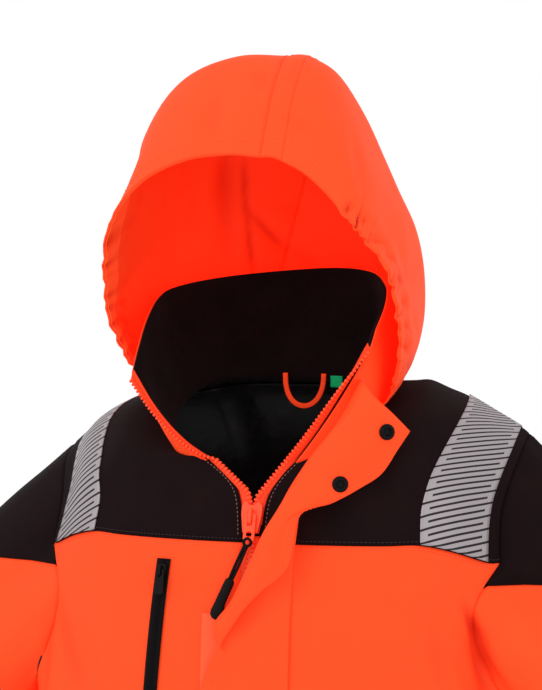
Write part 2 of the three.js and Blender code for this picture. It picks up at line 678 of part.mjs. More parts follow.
// Depth of the front of the jacket at a place across and up
const fronts = [shell.frontLeft, shell.frontRight, shell.yokeLeft, shell.yokeRight];
function surfaceDepth(place, z) {
  const centre = zipCentre(z);
  const x = Math.abs(place - centre) > zipHalfWidth + 0.5 ? place : centre + zipHalfWidth + 0.5;
  let depth = Infinity;
  for (const g of fronts) {
    for (let j = 0; j + 1 < g.points.length; j += 1) {
      for (let i = 0; i + 1 < g.points[0].length; i += 1) {
        const [a, b, c, d] = [g.points[j][i], g.points[j][i + 1], g.points[j + 1][i + 1],
          g.points[j + 1][i]];
        for (const [p, q, r] of [[a, b, c], [a, c, d]]) {
          const area = (q.x - p.x) * (r.z - p.z) - (r.x - p.x) * (q.z - p.z);
          const u = ((x - p.x) * (r.z - p.z) - (r.x - p.x) * (z - p.z)) / area;
          const v = ((q.x - p.x) * (z - p.z) - (x - p.x) * (q.z - p.z)) / area;
          if (u >= -0.01 && v >= -0.01 && u + v <= 1.01) {
            depth = Math.min(depth, p.y + u * (q.y - p.y) + v * (r.y - p.y));
          }
        }
      }
    }
  }
  return depth;
}
const onFront = (x, z, out) => new THREE.Vector3(x, surfaceDepth(x, z) - out, z);

// Storm flap: across each row it leaves its seam, turns over at the roll and ends at its free edge
const flapThick = 1.8;
const flapSeamX = 42;
const flapStand = 1.5;
const flapRows = [
  { seam: onCollar(0.955, 0.7, 3.4), under: [94, -112, 12], roll: [102, -115, 3], over: [115, -110, -10],
    free: [128, -100, -26] },
  { seam: onCollar(0.957, 0.46, 3.4), under: [86, -122, -9], roll: [98, -123, -20], over: [110, -117, -30],
    free: [120, -108, -40] },
  { seam: onCollar(0.96, 0.22, 3.4), under: [68, -127, -30], roll: [80, -131, -40], over: [96, -125, -50],
    free: [109, -117, -59] },
  { seam: onCollar(0.965, 0.05, 5), under: [47, -130, -56], roll: [52, -138, -61], over: [74, -135, -66],
    free: [94, -126, -70] },
  { seam: onFront(46, -76, flapStand + 2.2), under: [36, -138, -78], roll: [38, -149, -80],
    over: [57, -148, -81],
    free: [74, -136, -81] },
  { seam: onFront(43.5, -102, flapStand), under: [32, -143, -103], roll: [22, -153, -104],
    over: [35, -158, -98], free: [50, -149, -91] },
  { seam: onFront(flapSeamX, -132, flapStand), under: [26, -149, -134], roll: [8, -154, -134],
    over: [21, -162, -131], free: [43, -158, -131] },
  { seam: onFront(flapSeamX, -160, flapStand), under: [20, -153, -162], roll: [-4, -157, -162],
    over: [3, -164, -159], free: [22, -163, -152] },
  { seam: onFront(flapSeamX, -190, flapStand), under: [16, -158, -190], roll: [-18, -161, -188],
    over: [-12, -167, -184], free: [3, -167, -174] },
];
const flapClosedFrom = -224;
const flapFreeX = -35;
const flapClosedRows = 9;
const flapSteps = 8;

function flapSection(row) {
  const points = [row.seam.toArray(), row.under, row.roll, row.over, row.free];
  return spline(points);
}

function flapGrid() {
  const rows = flapRows.map((row) => steps(flapSteps).map((t) => at(flapSection(row), t)));
  for (let k = 0; k <= flapClosedRows; k += 1) {
    const z = mix(flapClosedFrom, hemHeight + 1, k / flapClosedRows);
    const free = k === 0 ? flapFreeX + 7 : flapFreeX;
    rows.push(steps(flapSteps).map((t) => {
      const x = mix(flapSeamX, free, t);
      return onFront(x, z, flapStand + 4 * Math.sin(Math.PI * Math.min(t, 0.55)));
    }));
  }
  return { points: rows };
}

// Turns a solid to lie on a grid: its own -Y points out along the chosen side there
function seatOn(g, i, j, out, mesh) {
  const [i0, j0] = [Math.floor(i), Math.floor(j)];
  const blend = (list) => {
    const low = list[j0][i0].clone().lerp(list[j0][i0 + 1], i - i0);
    return low.lerp(list[j0 + 1][i0].clone().lerp(list[j0 + 1][i0 + 1], i - i0), j - j0);
  };
  const normal = blend(g.normals).normalize();
  mesh.position.copy(blend(g.points).addScaledVector(normal, out));
  mesh.quaternion.setFromUnitVectors(new THREE.Vector3(0, Math.sign(out) * -1, 0).negate(), normal);
  return mesh;
}

const lathe = (profile, sides) =>
  new THREE.LatheGeometry(profile.map(([r, y]) => new THREE.Vector2(r, y)), sides);

function buildFlap() {
  const flap = flapGrid();
  addNormals([flap]);
  add('storm_flap', wall(flap, -flapThick / 2, flapThick / 2), orange());
  const snapProfile = [[0, 0], [6.6, 0], [6.6, 1.2], [5.4, 2.4], [3.4, 2.4], [2.6, 1.2], [0, 1.2]];
  const snapPlaces = { snap_upper: [6.1, 0.75, 1.3], snap_lower: [6.45, 3, 0.8] };
  const dark = material(0x231f22, 0.35, 0.6);
  for (const [name, [i, j, lift]] of Object.entries(snapPlaces)) {
    const snap = add(name, lathe(snapProfile, 16), dark);
    seatOn(flap, i, j, -(flapThick / 2 + lift), snap);
  }
}

// Open zip tape along a front edge and up the collar end; it stands out from the cloth edge
function buildOpenTape(side, yoke, collar) {
  const tapeWide = 8;
  const clear = 1.55;
  const yokeEnd = side === 'right' ? yoke.points[0].length - 1 : 0;
  const yokeNext = side === 'right' ? yokeEnd - 1 : 1;
  const collarEnd = side === 'right' ? collar.points[0].length - 1 : 0;
  const collarNext = side === 'right' ? collarEnd - 1 : 1;
  const edges = [];
  const pair = (g, j, end, next) => [g.points[j][end],
    g.points[j][end].clone().sub(g.points[j][next]).normalize()];
  const [low, lowOut] = pair(yoke, 0, yokeEnd, yokeNext);
  const [up, upOut] = pair(yoke, 1, yokeEnd, yokeNext);
  edges.push([low.clone().lerp(up, 0.9), lowOut.clone().add(upOut).normalize()]);
  edges.push([up, upOut]);
  for (let j = 0; j < collar.points.length; j += 1) {
    const [p, out] = pair(collar, j, collarEnd, collarNext);
    edges.push([p, j === 0 ? out.clone().add(upOut).normalize() : out]);
  }
  const rows = edges.map(([p, out]) => [p.clone().addScaledVector(out, clear),
    p.clone().addScaledVector(out, clear + tapeWide)]);
  const tape = { points: side === 'right' ? rows : rows.map((row) => row.reverse()) };
  addNormals([tape]);
  add(`zip_tape_${side}`, wall(tape, -1.3, 0.5, { end: 0.6 }), orange());
}

function buildClosedZip() {
  const inner = shell.frontRight.points.map((row) => row[0]);
  const yokeEdge = shell.yokeRight.points[1][yokeColumns.length - 1];
  const line = [inner[0].clone().lerp(yokeEdge, 0.17), ...inner];
  const wide = zipHalfWidth - 0.35;
  const zip = { points: line.map((p) => [wide, 0, -wide].map((x) =>
    new THREE.Vector3(zipCentre(p.z) + x, p.y, p.z))) };
  addNormals([zip]);
  add('zip_closed', wall(zip, -1.4, 1, { end: 3 }), orange());
}

const rounded = (wide, tall, radius) => {
  const shape = new THREE.Shape();
  const [w, h] = [wide / 2, tall / 2];
  shape.moveTo(-w + radius, -h);
  shape.lineTo(w - radius, -h).absarc(w - radius, -h + radius, radius, -Math.PI / 2, 0);
  shape.lineTo(w, h - radius).absarc(w - radius, h - radius, radius, 0, Math.PI / 2);
  shape.lineTo(-w + radius, h).absarc(-w + radius, h - radius, radius, Math.PI / 2, Math.PI);
  shape.lineTo(-w, -h + radius).absarc(-w + radius, -h + radius, radius, Math.PI, 1.5 * Math.PI);
  return shape;
};

// A flat plate whose outline stands in X and Z, with its back face at Y 0 and its front towards -Y
const plate = (shape, thick) => new THREE.ExtrudeGeometry(shape,
  { depth: thick, bevelEnabled: false, curveSegments: 5 })
  .rotateX(Math.PI / 2);

// Main slider: a shield body and an arch, under which the tab's crossbar turns
const sliderPlace = new THREE.Vector3(zipLean, -131.8, -97);
const sliderTilt = THREE.MathUtils.degToRad(-17);
const archReach = 4.9;
const sliderThick = 4.6;

function sliderBody() {
  const shield = new THREE.Shape();
  shield.moveTo(-6.4, -13);
  shield.lineTo(6.4, -13).lineTo(8.6, 2).lineTo(8.6, 9).lineTo(5.4, 13).lineTo(2.2, 9.4);
  shield.lineTo(-2.2, 9.4).lineTo(-5.4, 13).lineTo(-8.6, 9).lineTo(-8.6, 2).closePath();
  return plate(shield, sliderThick);
}

// The arch is an upright outline in Y and Z, as thick as it is wide across
function sliderArch(wide, long, reach, open) {
  const outline = new THREE.Shape();
  outline.moveTo(-long / 2, -0.2);
  outline.lineTo(-long / 2, reach - 1).lineTo(-long / 2 + 1.4, reach).lineTo(long / 2 - 1.4, reach);
  outline.lineTo(long / 2, reach - 1).lineTo(long / 2, -0.2).closePath();
  const gap = new THREE.Path();
  gap.moveTo(-open / 2, 0.4).lineTo(open / 2, 0.4).lineTo(open / 2, reach - 1.5)
    .lineTo(-open / 2, reach - 1.5);
  gap.closePath();
  outline.holes.push(gap);
  const geometry = new THREE.ExtrudeGeometry(outline, { depth: wide, bevelEnabled: false });
  const turn = new THREE.Matrix4().makeBasis(new THREE.Vector3(0, 0, 1), new THREE.Vector3(0, -1, 0),
    new THREE.Vector3(1, 0, 0));
  return geometry.applyMatrix4(turn).translate(-wide / 2, 0, 0);
}

const solidOf = (geometry) => {
  const plain = geometry.clone();
  plain.deleteAttribute('normal');
  plain.deleteAttribute('uv');
  const merged = mergeVertices(plain, 1e-4);
  return new wasm.Manifold(new wasm.Mesh({
    numProp: 3,
    vertProperties: new Float32Array(merged.attributes.position.array),
    triVerts: new Uint32Array(merged.index.array),
  }));
};

function joined(...geometries) {
  const solid = geometries.map(solidOf).reduce((sum, next) => sum.add(next));
  const mesh = solid.getMesh();
  return geometryOf(Array.from(mesh.vertProperties), Array.from(mesh.triVerts));
}

// Tab with a crossbar at its top, a window below it for the arch's post, and an eye at its foot
function tabOutline(wide, long, windowWide, windowLong, eye) {
  const tab = rounded(wide, long, Math.min(2, wide / 3));
  const top = long / 2;
  const window = new THREE.Path();
  window.moveTo(-windowWide / 2, top - 1.6).lineTo(-windowWide / 2, top - 1.6 - windowLong);
  window.lineTo(windowWide / 2, top - 1.6 - windowLong).lineTo(windowWide / 2, top - 1.6).closePath();
  tab.holes.push(window);
  if (eye) tab.holes.push(new THREE.Path().absarc(0, -long / 2 + 5, eye, 0, 2 * Math.PI, true));
  return tab;
}

function buildSlider() {
  const group = new THREE.Group();
  group.position.copy(sliderPlace);
  group.rotation.x = sliderTilt;
  jacket.add(group);
  const face = -sliderThick;
  const arch = sliderArch(2.6, 12, archReach, 8).translate(0, face, 0);
  const body = add('zip_slider', joined(sliderBody(), arch), material(0xf4471c, 0.5));
  const tabLong = 22;
  const tab = add('zip_tab',
    plate(tabOutline(9.5, tabLong, 4.2, 8.5, 2.6), 1.7).translate(0, 0.85, -tabLong / 2 + 0.8),
    material(0xf4471c, 0.5));
  tab.position.set(0, face - 1.9, 1.2);
  group.add(body, tab);
  const grip = [[0, 0], [2.2, 0.6], [2.4, 28], [3.4, 32], [4.6, 36], [4.9, 52], [5.6, 60], [4.8, 66],
    [2.4, 69], [0, 69.6]];
  const direction = new THREE.Vector3(-26, -13.5, -63.5).normalize();
  const puller = add('zip_puller', lathe(grip, 10).scale(1, 1, 0.62), material(0x1a1718, 0.7));
  puller.position.set(4.6, -144.48, -115.04);
  puller.quaternion.setFromUnitVectors(new THREE.Vector3(0, 1, 0), direction);
}

// Chest pocket zip: a black strip let into the wearer's right front, leaning outward as it goes down
const pocketTop = { x: -69, z: -133 };
const pocketFoot = { x: -82, z: -308 };
const pocketHalfWidth = 6;

function strip(rows, centre, halfWide, out) {
  const points = steps(rows).map((t) => {
    const c = centre(t);
    return [halfWide, 0, -halfWide].map((x) => onFront(c.x + x, c.z, out));
  });
  return addNormals([{ points }])[0];
}

function buildPocket() {
  const centre = (t) => ({ x: mix(pocketTop.x, pocketFoot.x, t), z: mix(pocketTop.z, pocketFoot.z, t) });
  const zip = strip(9, centre, pocketHalfWidth, 1.25);
  add('pocket_zip', wall(zip, -0.2, 0.6), black());
  const place = centre(0.055);
  const seat = surfaceDepth(place.x, place.z) - 3;
  const group = new THREE.Group();
  group.position.set(place.x, seat, place.z);
  group.rotation.x = THREE.MathUtils.degToRad(-14);
  jacket.add(group);
  const arch = sliderArch(1.8, 8, 4.2, 5).translate(0, -3, 0);
  const body = add('pocket_slider', joined(plate(rounded(8.6, 11, 2.4), 3), arch), material(0x141113, 0.5));
  const tabLong = 21;
  const tab = add('pocket_tab',
    plate(tabOutline(7, tabLong, 2.9, 5.4, 0), 1.3).translate(0, 0.65, -tabLong / 2 + 0.7),
    material(0x141113, 0.5));
  tab.position.set(0, -3 - 1.55, 0.6);
  group.add(body, tab);
}

function buildTrim() {
  const hook = strip(3, (t) => ({ x: -21.5, z: mix(-174, -238, t) }), 11, 1);
  add('hook_strip', wall(hook, -0.6, 0.7), material(0xff5a2a, 0.9));
  const loopEnds = { right: 0.457, left: 0.532 };
  const inside = -(fleeceThick + 4.9);
  const right = onCollar(loopEnds.right, 0.07, inside);
  const left = onCollar(loopEnds.left, 0.07, inside);
  const low = -23;
  const curve = spline([right.toArray(), [right.x - 1, right.y - 2.5, -8],
    [right.x + 6, right.y - 2.5, low + 5],
    [0, (right.y + left.y) / 2 - 3, low], [left.x - 6, left.y - 2.5, low + 5],
      [left.x + 1, left.y - 2.5, -8],
    left.toArray()]);
  const section = rounded(3.4, 3.4, 1.2);
  const loop = new THREE.ExtrudeGeometry(section, { steps: 18, extrudePath: curve, curveSegments: 2 });
  add('hanger_loop', loop, orange());
  const labelRows = [6, 0, -6];
  const label = { points: labelRows.map((z) => [0.5445, 0.5665].map((t) => {
    const p = onCollar(t, 0.05, -(fleeceThick + 3.3));
    return new THREE.Vector3(p.x, p.y, z);
  })) };
  addNormals([label]);
  add('label', wall(label, -0.25, 0.25), material(0x0a9a48, 0.6));
}

// Reflective tape over a shoulder: the yokes' own points between two columns, moved out
function buildReflective(side) {
  const right = side === 'right';
  const frontLast = yokeColumns.length - 1;
  const backLast = seats.length - 1;
  const [inner, outer] = tapeColumns;
  const frontCols = [];
  for (let c = inner; c <= outer; c += 1) frontCols.push(right ? frontLast - c : c);
  const backCols = [];
  for (let c = inner; c <= outer; c += 1) backCols.push(right ? backLast - (frontLast - c) : frontLast - c);
  if (right) [frontCols, backCols].forEach((cols) => cols.sort((a, b) => a - b));
  if (right) backCols.reverse();
  const [front, rear] = [right ? shell.yokeRight : shell.yokeLeft, shell.yokeBack];
  const tape = { points: [], normals: [] };
  const take = (g, j, cols) => {
    tape.points.push(cols.map((c) => g.points[j][c]));
    tape.normals.push(cols.map((c) => g.normals[j][c]));
  };
  for (let j = 0; j <= capFrontRows; j += 1) take(front, j, frontCols);
  for (let j = capBackRows - 1; j >= 0; j -= 1) take(rear, j, backCols);
  add(`reflect_${side}`, wall(tape, 0.35, 0.35 + tapeThick, { start: 0.8, end: 0.8 }),
    material(0xa9a2a6, 0.4, 0.3));
}

add('yoke_front_right', wall(shell.yokeRight, -shellThick, 0, { ...all, end: 4 * half }), black());
add('yoke_front_left', wall(shell.yokeLeft, -shellThick, 0, all), black());
add('yoke_back', wall(shell.yokeBack, -shellThick, 0, { ...all, start: 2 * half, end: 2 * half }), black());
add('front_right', wall(shell.frontRight, -shellThick, 0, all), orange());
add('front_left', wall(shell.frontLeft, -shellThick, 0, all), orange());
add('back', wall(shell.back, -shellThick, 0, all), orange());
add('sleeve_cap_right', wall(shell.capRight, -shellThick, 0, all), black());
add('sleeve_cap_left', wall(shell.capLeft, -shellThick, 0, all), black());
add('sleeve_right', wall(shell.sleeveRight, -shellThick, 0, all), orange());
add('sleeve_left', wall(shell.sleeveLeft, -shellThick, 0, all), orange());
add('lining_back', wall(shell.yokeBack, -shellThick - 2.1, -shellThick - 1.1,
  { start: 6, end: 5, left: 8, right: 8 }),
  material(0x0d0b0d, 0.35));
const collar = buildCollar();
buildHood();
buildFlap();
buildOpenTape('right', shell.yokeRight, collar);
buildOpenTape('left', shell.yokeLeft, collar);
buildClosedZip();
buildSlider();
buildPocket();
buildTrim();
buildReflective('right');
buildReflective('left');

export default jacket;
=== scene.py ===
# Hi-vis work jacket, worn and hollow: looks for the CAD frame.
# Shapes are worked out in millimetres, +X the wearer's left, -Y the front, +Z up, and made in metres.
import math
import bpy
import numpy as np
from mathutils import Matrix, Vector


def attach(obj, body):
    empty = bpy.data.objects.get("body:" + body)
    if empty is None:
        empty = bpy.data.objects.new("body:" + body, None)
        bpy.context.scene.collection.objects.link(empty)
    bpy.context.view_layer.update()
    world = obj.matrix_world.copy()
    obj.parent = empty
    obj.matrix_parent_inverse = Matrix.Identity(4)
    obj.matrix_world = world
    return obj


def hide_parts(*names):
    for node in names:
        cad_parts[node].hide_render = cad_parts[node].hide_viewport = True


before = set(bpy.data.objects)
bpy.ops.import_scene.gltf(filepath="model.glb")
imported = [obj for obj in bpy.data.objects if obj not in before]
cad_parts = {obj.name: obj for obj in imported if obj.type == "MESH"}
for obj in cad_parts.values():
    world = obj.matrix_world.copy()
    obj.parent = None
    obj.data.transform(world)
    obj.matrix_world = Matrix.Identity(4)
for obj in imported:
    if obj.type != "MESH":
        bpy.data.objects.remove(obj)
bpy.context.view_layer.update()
scene = bpy.context.scene
metre, fullTurn = 0.001, 2 * math.pi

# Camera at the photograph's angle
cameraSettings = {"azimuth": 17, "elevation": 4, "distance": 2100, "target": (-18.84, -3.24, 34.40),
                  "lens": 127.1, "sensor": 36}


def makeCamera(s):
    a, e = math.radians(s["azimuth"]), math.radians(s["elevation"])
    back = Vector((math.sin(a) * math.cos(e), -math.cos(a) * math.cos(e), math.sin(e)))
    data = bpy.data.cameras.new("photoCamera")
    data.lens, data.sensor_width = s["lens"], s["sensor"]
    camera = bpy.data.objects.new("photoCamera", data)
    scene.collection.objects.link(camera)
    camera.location = (Vector(s["target"]) + back * s["distance"]) * metre
    camera.rotation_mode = "QUATERNION"
    camera.rotation_quaternion = (-back).to_track_quat("-Z", "Y")
    scene.camera = camera


makeCamera(cameraSettings)
print("camera made")

# The cut of the jacket, with the same named values as the CAD
hemHeight, underarmHeight, yokeSeamHeight, yokeSeamDrop = -740, -285, -117, 19
backSeamHeight, capSeamHeight = -140, -152
shellThick, fleeceThick, tapeThick, seamGap = 1.6, 2.4, 0.6, 0.3
zipHalfWidth, zipLean = 7, 5
edgeRows, neckRows, capBackRows, armRows, bodyRows = 2, 6, 6, 5, 9
capFrontRows = edgeRows + neckRows
neckBackSteps, sleeveRows, hoodSteps, hoodRows, stripSteps, collarRows, capRows = 6, 12, 11, 9, 3, 4, 4
fine = 8  # steps that each CAD step is cut into

bodyRings = {
    "z": [-100, -140, -200, -285, -400, -520, -640, -740],
    "halfWidth": [203, 210, 219, 226, 228, 227, 233, 240],
    "front": [133, 143, 153, 157, 153, 148, 149, 153],
    "back": [114, 126, 136, 141, 139, 137, 141, 146],
    "round": [2.5, 2.45, 2.4, 2.35, 2.3, 2.3, 2.3, 2.3],
}
armholeFront = {"z": [-136, -165, -205, -250, -285], "across": [196, 182, 187, 208, 226]}
armholeBack = {"z": [-152, -180, -220, -258, -285], "across": [197, 190, 196, 212, 226]}
shoulderLine = {
    "right": [(80, 8, 0), (120, 7, -5), (154, 5, -18), (176, 4, -33), (197, 4, -50), (204, 4, -57)],
    "left": [(80, 8, 6), (120, 7, 8), (154, 5, -5), (176, 4, -17), (199, 4, -30), (206, 4, -35)],
}
sign = {"right": -1, "left": 1}
yokeSeams = [7, 32, 60, 88, 115, 140, 164, 188, 196]
yokeShoulders = {
    "right": [0, 0.29, 0.58, 0.86, 1.15, 1.5, 2.35, 3.25, 5],
    "left": [0, 1 / 3, 2 / 3, 1, 1.5, 2, 3, 4, 5],
}
tapeColumns = (5, 7)
backSeams = [78, 90, 103, 116, 129, 142, 166, 190, 197]
yokeCols = len(yokeSeams) - 1
frontReach, backReach = yokeSeams[-1], backSeams[-1]  # where the armhole starts on each face
armTurns = {"front": 75, "under": 180, "back": 285, "full": 360}  # degrees round the arm, from the top
weldSize = 0.05  # points nearer than this share one normal

collarStations = {
    "base": [(-40, -113, -53), (-70, -100, -48), (-88, -56, -22), (-80, 8, 0), (-48, 42, 3), (0, 50, 3),
             (48, 42, 4), (80, 8, 6), (88, -56, -20), (68, -101, -46), (36, -114, -52)],
    "middle": [(-78, -103, -29), (-99, -84, -8), (-108, -42, 20), (-102, 15, 41), (-66, 53, 46), (-5, 64, 48),
               (50, 52, 50), (83, 14, 46), (94, -46, 24), (86, -90, 0), (66, -108, -9)],
    "top": [(-115, -88, 15), (-118, -62, 38), (-121, -22, 66), (-119, 20, 80), (-84, 56, 89), (-12, 70, 97),
            (48, 56, 98), (77, 16, 88), (88, -30, 70), (91, -70, 54), (93, -92, 42)],
}
neckSideRight, neckSideLeft = 0.3, 0.7
frontEdge = {
    "right": [(-2, -137, -117), (-3.5, -130.5, -97), (-11, -122.5, -76), (-25, -117, -62), (-40, -113, -53)],
    "left": [(12, -137, -117), (12.5, -131, -98), (16, -125, -79), (24, -119, -63), (36, -114, -52)],
}
# Arches from the brim to the back: place on the neck, then foot, low, middle, high, corner, top, seam
hoodArches = {
    "right": [
        (0.16, [(-117, -58, 4), (-137, -68, 42), (-147, -73, 92), (-133, -82, 150), (-92, -84, 186),
                (-44, -78, 198), (-6, -75, 196)]),
        (0.23, [(-123, -36, 12), (-143, -38, 45), (-147, -36, 100), (-130, -42, 170), (-110, -42, 222),
                (-58, -36, 246), (-8, -34, 250)]),
        (0.3, [(-121, 4, 18), (-144, 6, 52), (-146, 10, 108), (-134.5, 12, 183), (-119.5, 14, 248),
                (-68, 16, 281), (-9, 16, 283)]),
        (0.36, [(-98, 48, 20), (-120, 64, 52), (-126, 75, 106), (-117, 80, 170), (-99, 84, 222),
                (-54, 85, 254), (-11, 85, 263)]),
        (0.41, [(-58, 78, 16), (-55, 106, 46), (-48, 126, 92), (-38, 137, 142), (-29, 138, 176),
                (-23, 136, 196), (-17, 131, 213)]),
    ],
    "left": [
        (0.83, [(111, -76, 12), (115, -84, 60), (107, -84, 101), (80, -82, 136), (58, -80, 160),
                (36, -77, 180), (12, -75, 193)]),
        (0.77, [(112, -44, 16), (114.5, -44, 66), (102, -40, 122), (78, -39, 168), (62, -37, 202),
                (38, -35, 234), (10, -34, 248)]),
        (0.7, [(107, 4, 24), (109, 8, 76), (100.5, 10, 130), (76.5, 12, 180), (59.5, 14, 216),
                (36, 16, 263), (9, 16, 282)]),
        (0.64, [(92, 48, 24), (100, 62, 74), (92, 72, 124), (72, 78, 168), (55, 81, 204),
                (32, 84, 245), (10, 85, 262)]),
        (0.59, [(58, 78, 18), (54, 104, 50), (45, 124, 96), (34, 134, 144), (27, 136, 176),
                (21, 135, 196), (15, 131, 212)]),
    ],
}
sleeveRings = [(293, -4, -284, 60, 84, 18), (324, -8, -425, 57, 74, 14), (352, -26, -556, 52, 62, 13),
               (376, -50, -664, 46, 52, 12)]
capBulge = 24


def clamp(x, low=0.0, high=1.0):
    return min(max(x, low), high)


def mix(a, b, t):
    return a + (b - a) * t


def smoothstep(x, low, high):
    t = clamp((x - low) / (high - low))
    return t * t * (3 - 2 * t)


def unit(v):
    return v / np.linalg.norm(v, axis=-1, keepdims=True)


# Length of a path up to each of its points
def lengths(path):
    return np.concatenate([[0], np.cumsum(np.linalg.norm(np.diff(path, axis=0), axis=1))])


def column(table, key, name, t):
    k, v = table[key], table[name]
    way = 1 if k[1] > k[0] else -1
    i = 0
    while i < len(k) - 2 and (k[i + 1] - t) * way < 0:
        i += 1
    span = k[i + 1] - k[i]
    f = clamp((t - k[i]) / span)
    slope = lambda p, q: (v[q] - v[p]) / (k[q] - k[p]) * span
    m0, m1 = slope(max(i - 1, 0), i + 1), slope(i, min(i + 2, len(k) - 1))
    return ((2 * f ** 3 - 3 * f * f + 1) * v[i] + (f ** 3 - 2 * f * f + f) * m0
            + (3 * f * f - 2 * f ** 3) * v[i + 1] + (f ** 3 - f * f) * m1)


# Centripetal Catmull-Rom curve through points, as the CAD draws it
class Curve:
    def __init__(self, points):
        self.p = np.array([np.asarray(q, float) for q in points])

    def at(self, t):
        p, count = self.p, len(self.p)
        place = (count - 1) * clamp(t)
        i = min(int(place), count - 2)
        w = place - i
        p1, p2 = p[i], p[i + 1]
        p0 = p[i - 1] if i > 0 else 2 * p[0] - p[1]
        p3 = p[i + 2] if i + 2 < count else 2 * p[-1] - p[-2]
        d0, d1, d2 = (float(np.sum((b - a) ** 2)) ** 0.25 for a, b in ((p0, p1), (p1, p2), (p2, p3)))
        d1 = d1 if d1 > 1e-4 else 1.0
        d0 = d0 if d0 > 1e-4 else d1
        d2 = d2 if d2 > 1e-4 else d1
        t1 = ((p1 - p0) / d0 - (p2 - p0) / (d0 + d1) + (p2 - p1) / d1) * d1
        t2 = ((p2 - p1) / d1 - (p3 - p1) / (d1 + d2) + (p3 - p2) / d2) * d1
        return p1 + t1 * w + (-3 * p1 + 3 * p2 - 2 * t1 - t2) * w * w + (2 * p1 - 2 * p2 + t1 + t2) * w ** 3


ring = lambda name, z: column(bodyRings, "z", name, z)
armholeWidth = lambda table, z: column(table, "z", "across", z)
zipCentre = lambda z: zipLean * smoothstep(z, -340, yokeSeamHeight)
seamHeight = lambda across: yokeSeamHeight - yokeSeamDrop * smoothstep(across, 142, 200)
backHeight = lambda across: backSeamHeight - 12 * smoothstep(across, 120, 200)


def onBody(x, z, side):
    part = min(abs(x) / ring("halfWidth", z), 1)
    power = ring("round", z)
    deep = ring("front" if side < 0 else "back", z)
    return np.array([x, side * deep * (1 - part ** power) ** (1 / power), z])


def shoulderPoint(side, run):
    table = shoulderLine[side]
    i = min(int(run), len(table) - 2)
    a, b = np.array(table[i], float), np.array(table[i + 1], float)
    return mix(a, b, run - i) * (sign[side], 1, 1)


def upperArmhole(side, face):
    s = sign[side]
    start = (onBody(s * frontReach, seamHeight(frontReach), -1) if face < 0
             else onBody(s * backReach, backHeight(backReach), 1))
    end = shoulderPoint(side, 5)
    if face < 0:
        bow = mix(start, end, np.array([0.35, 0.3, 0.42])) + (-s * 5, -8, 0)
    else:
        bow = mix(start, end, np.array([0.35, 0.3, 0.46])) + (-s * 4, 8, 0)
    high = mix(start, end, np.array([0.8, 0.72, 0.86])) + (0, face * 5, 0)
    return Curve([start, bow, high, end])


collarLines = {row: Curve(points) for row, points in collarStations.items()}
neckPoint = collarLines["base"].at


def grid(rows, cols, place, closed=False):
    return np.array([[place(i, j) for i in range(cols if closed else cols + 1)] for j in range(rows + 1)])


def patch(rows, cols, start, end, left, right, part, bulge):
    corners = [start(0), end(0), start(cols), end(cols)]

    def place(i, j):
        u, v = part(i), j / rows
        plain = mix(start(i), end(i), v)
        plain = plain + (left(j) - mix(corners[0], corners[1], v)) * (1 - u)
        plain = plain + (right(j) - mix(corners[2], corners[3], v)) * u
        return plain + np.array(bulge) * 16 * u * (1 - u) * v * (1 - v)
    return grid(rows, cols, place)


def frontYoke(side):
    s = sign[side]
    edge, arm = Curve(frontEdge[side]), upperArmhole(side, -1)

    def inner(j):
        if j <= edgeRows:
            return edge.at(j / edgeRows)
        t = (j - edgeRows) / neckRows
        return neckPoint(mix(0, neckSideRight, t) if side == "right" else mix(1, neckSideLeft, t))
    return patch(
        capFrontRows, yokeCols,
        lambda i: inner(0) if i == 0 else onBody(s * yokeSeams[i], seamHeight(yokeSeams[i]), -1),
        lambda i: inner(capFrontRows) if i == 0 else shoulderPoint(side, yokeShoulders[side][i]),
        inner, lambda j: arm.at(j / capFrontRows),
        lambda i: (yokeSeams[i] - yokeSeams[0]) / (yokeSeams[-1] - yokeSeams[0]), (0, -6, 9))


def spread(part, row):
    return mix(part, math.sin(part * math.pi / 2), clamp((row - 2) / armRows) * 0.75)


def frontPanel(side, yoke):
    s = sign[side]

    def place(i, j):
        if j == 0:
            return yoke[0][i]
        reach = yokeSeams[i] / yokeSeams[-1]
        low = (j - armRows) / bodyRows if j > armRows else 0
        sideHeight = (mix(seamHeight(frontReach), underarmHeight, j / armRows) if j <= armRows
                      else mix(underarmHeight, hemHeight, low))
        centreHeight = mix(yokeSeamHeight, hemHeight, (yokeSeamHeight - sideHeight - yokeSeamDrop * (1 - low)
                           * (1 - j / (armRows + bodyRows))) / (yokeSeamHeight - hemHeight))
        z = mix(centreHeight, sideHeight, smoothstep(reach, 0.6, 1))
        if i == 0:
            return onBody(s * zipHalfWidth + zipCentre(z), z, -1)
        widest = armholeWidth(armholeFront, sideHeight) if j <= armRows else ring("halfWidth", sideHeight)
        x = widest if i == yokeCols else mix(zipHalfWidth, widest, spread(reach, j))
        return onBody(s * x, z, -1)
    return grid(armRows + bodyRows, yokeCols, place)


seats = ([(-seam, "right", run) for seam, run in zip(backSeams[::-1], yokeShoulders["right"][::-1])]
         + [(mix(-backSeams[0], backSeams[0], k / neckBackSteps), None, k / neckBackSteps)
            for k in range(1, neckBackSteps)]
         + [(seam, "left", run) for seam, run in zip(backSeams, yokeShoulders["left"])])
backCols = len(seats) - 1


def backYoke():
    arms = {side: upperArmhole(side, 1) for side in sign}
    return patch(
        capBackRows, backCols,
        lambda i: onBody(seats[i][0], backHeight(abs(seats[i][0])), 1),
        lambda i: (shoulderPoint(seats[i][1], seats[i][2]) if seats[i][1]
                   else neckPoint(mix(neckSideRight, neckSideLeft, seats[i][2]))),
        lambda j: arms["right"].at(j / capBackRows), lambda j: arms["left"].at(j / capBackRows),
        lambda i: i / backCols, (0, 14, 8))


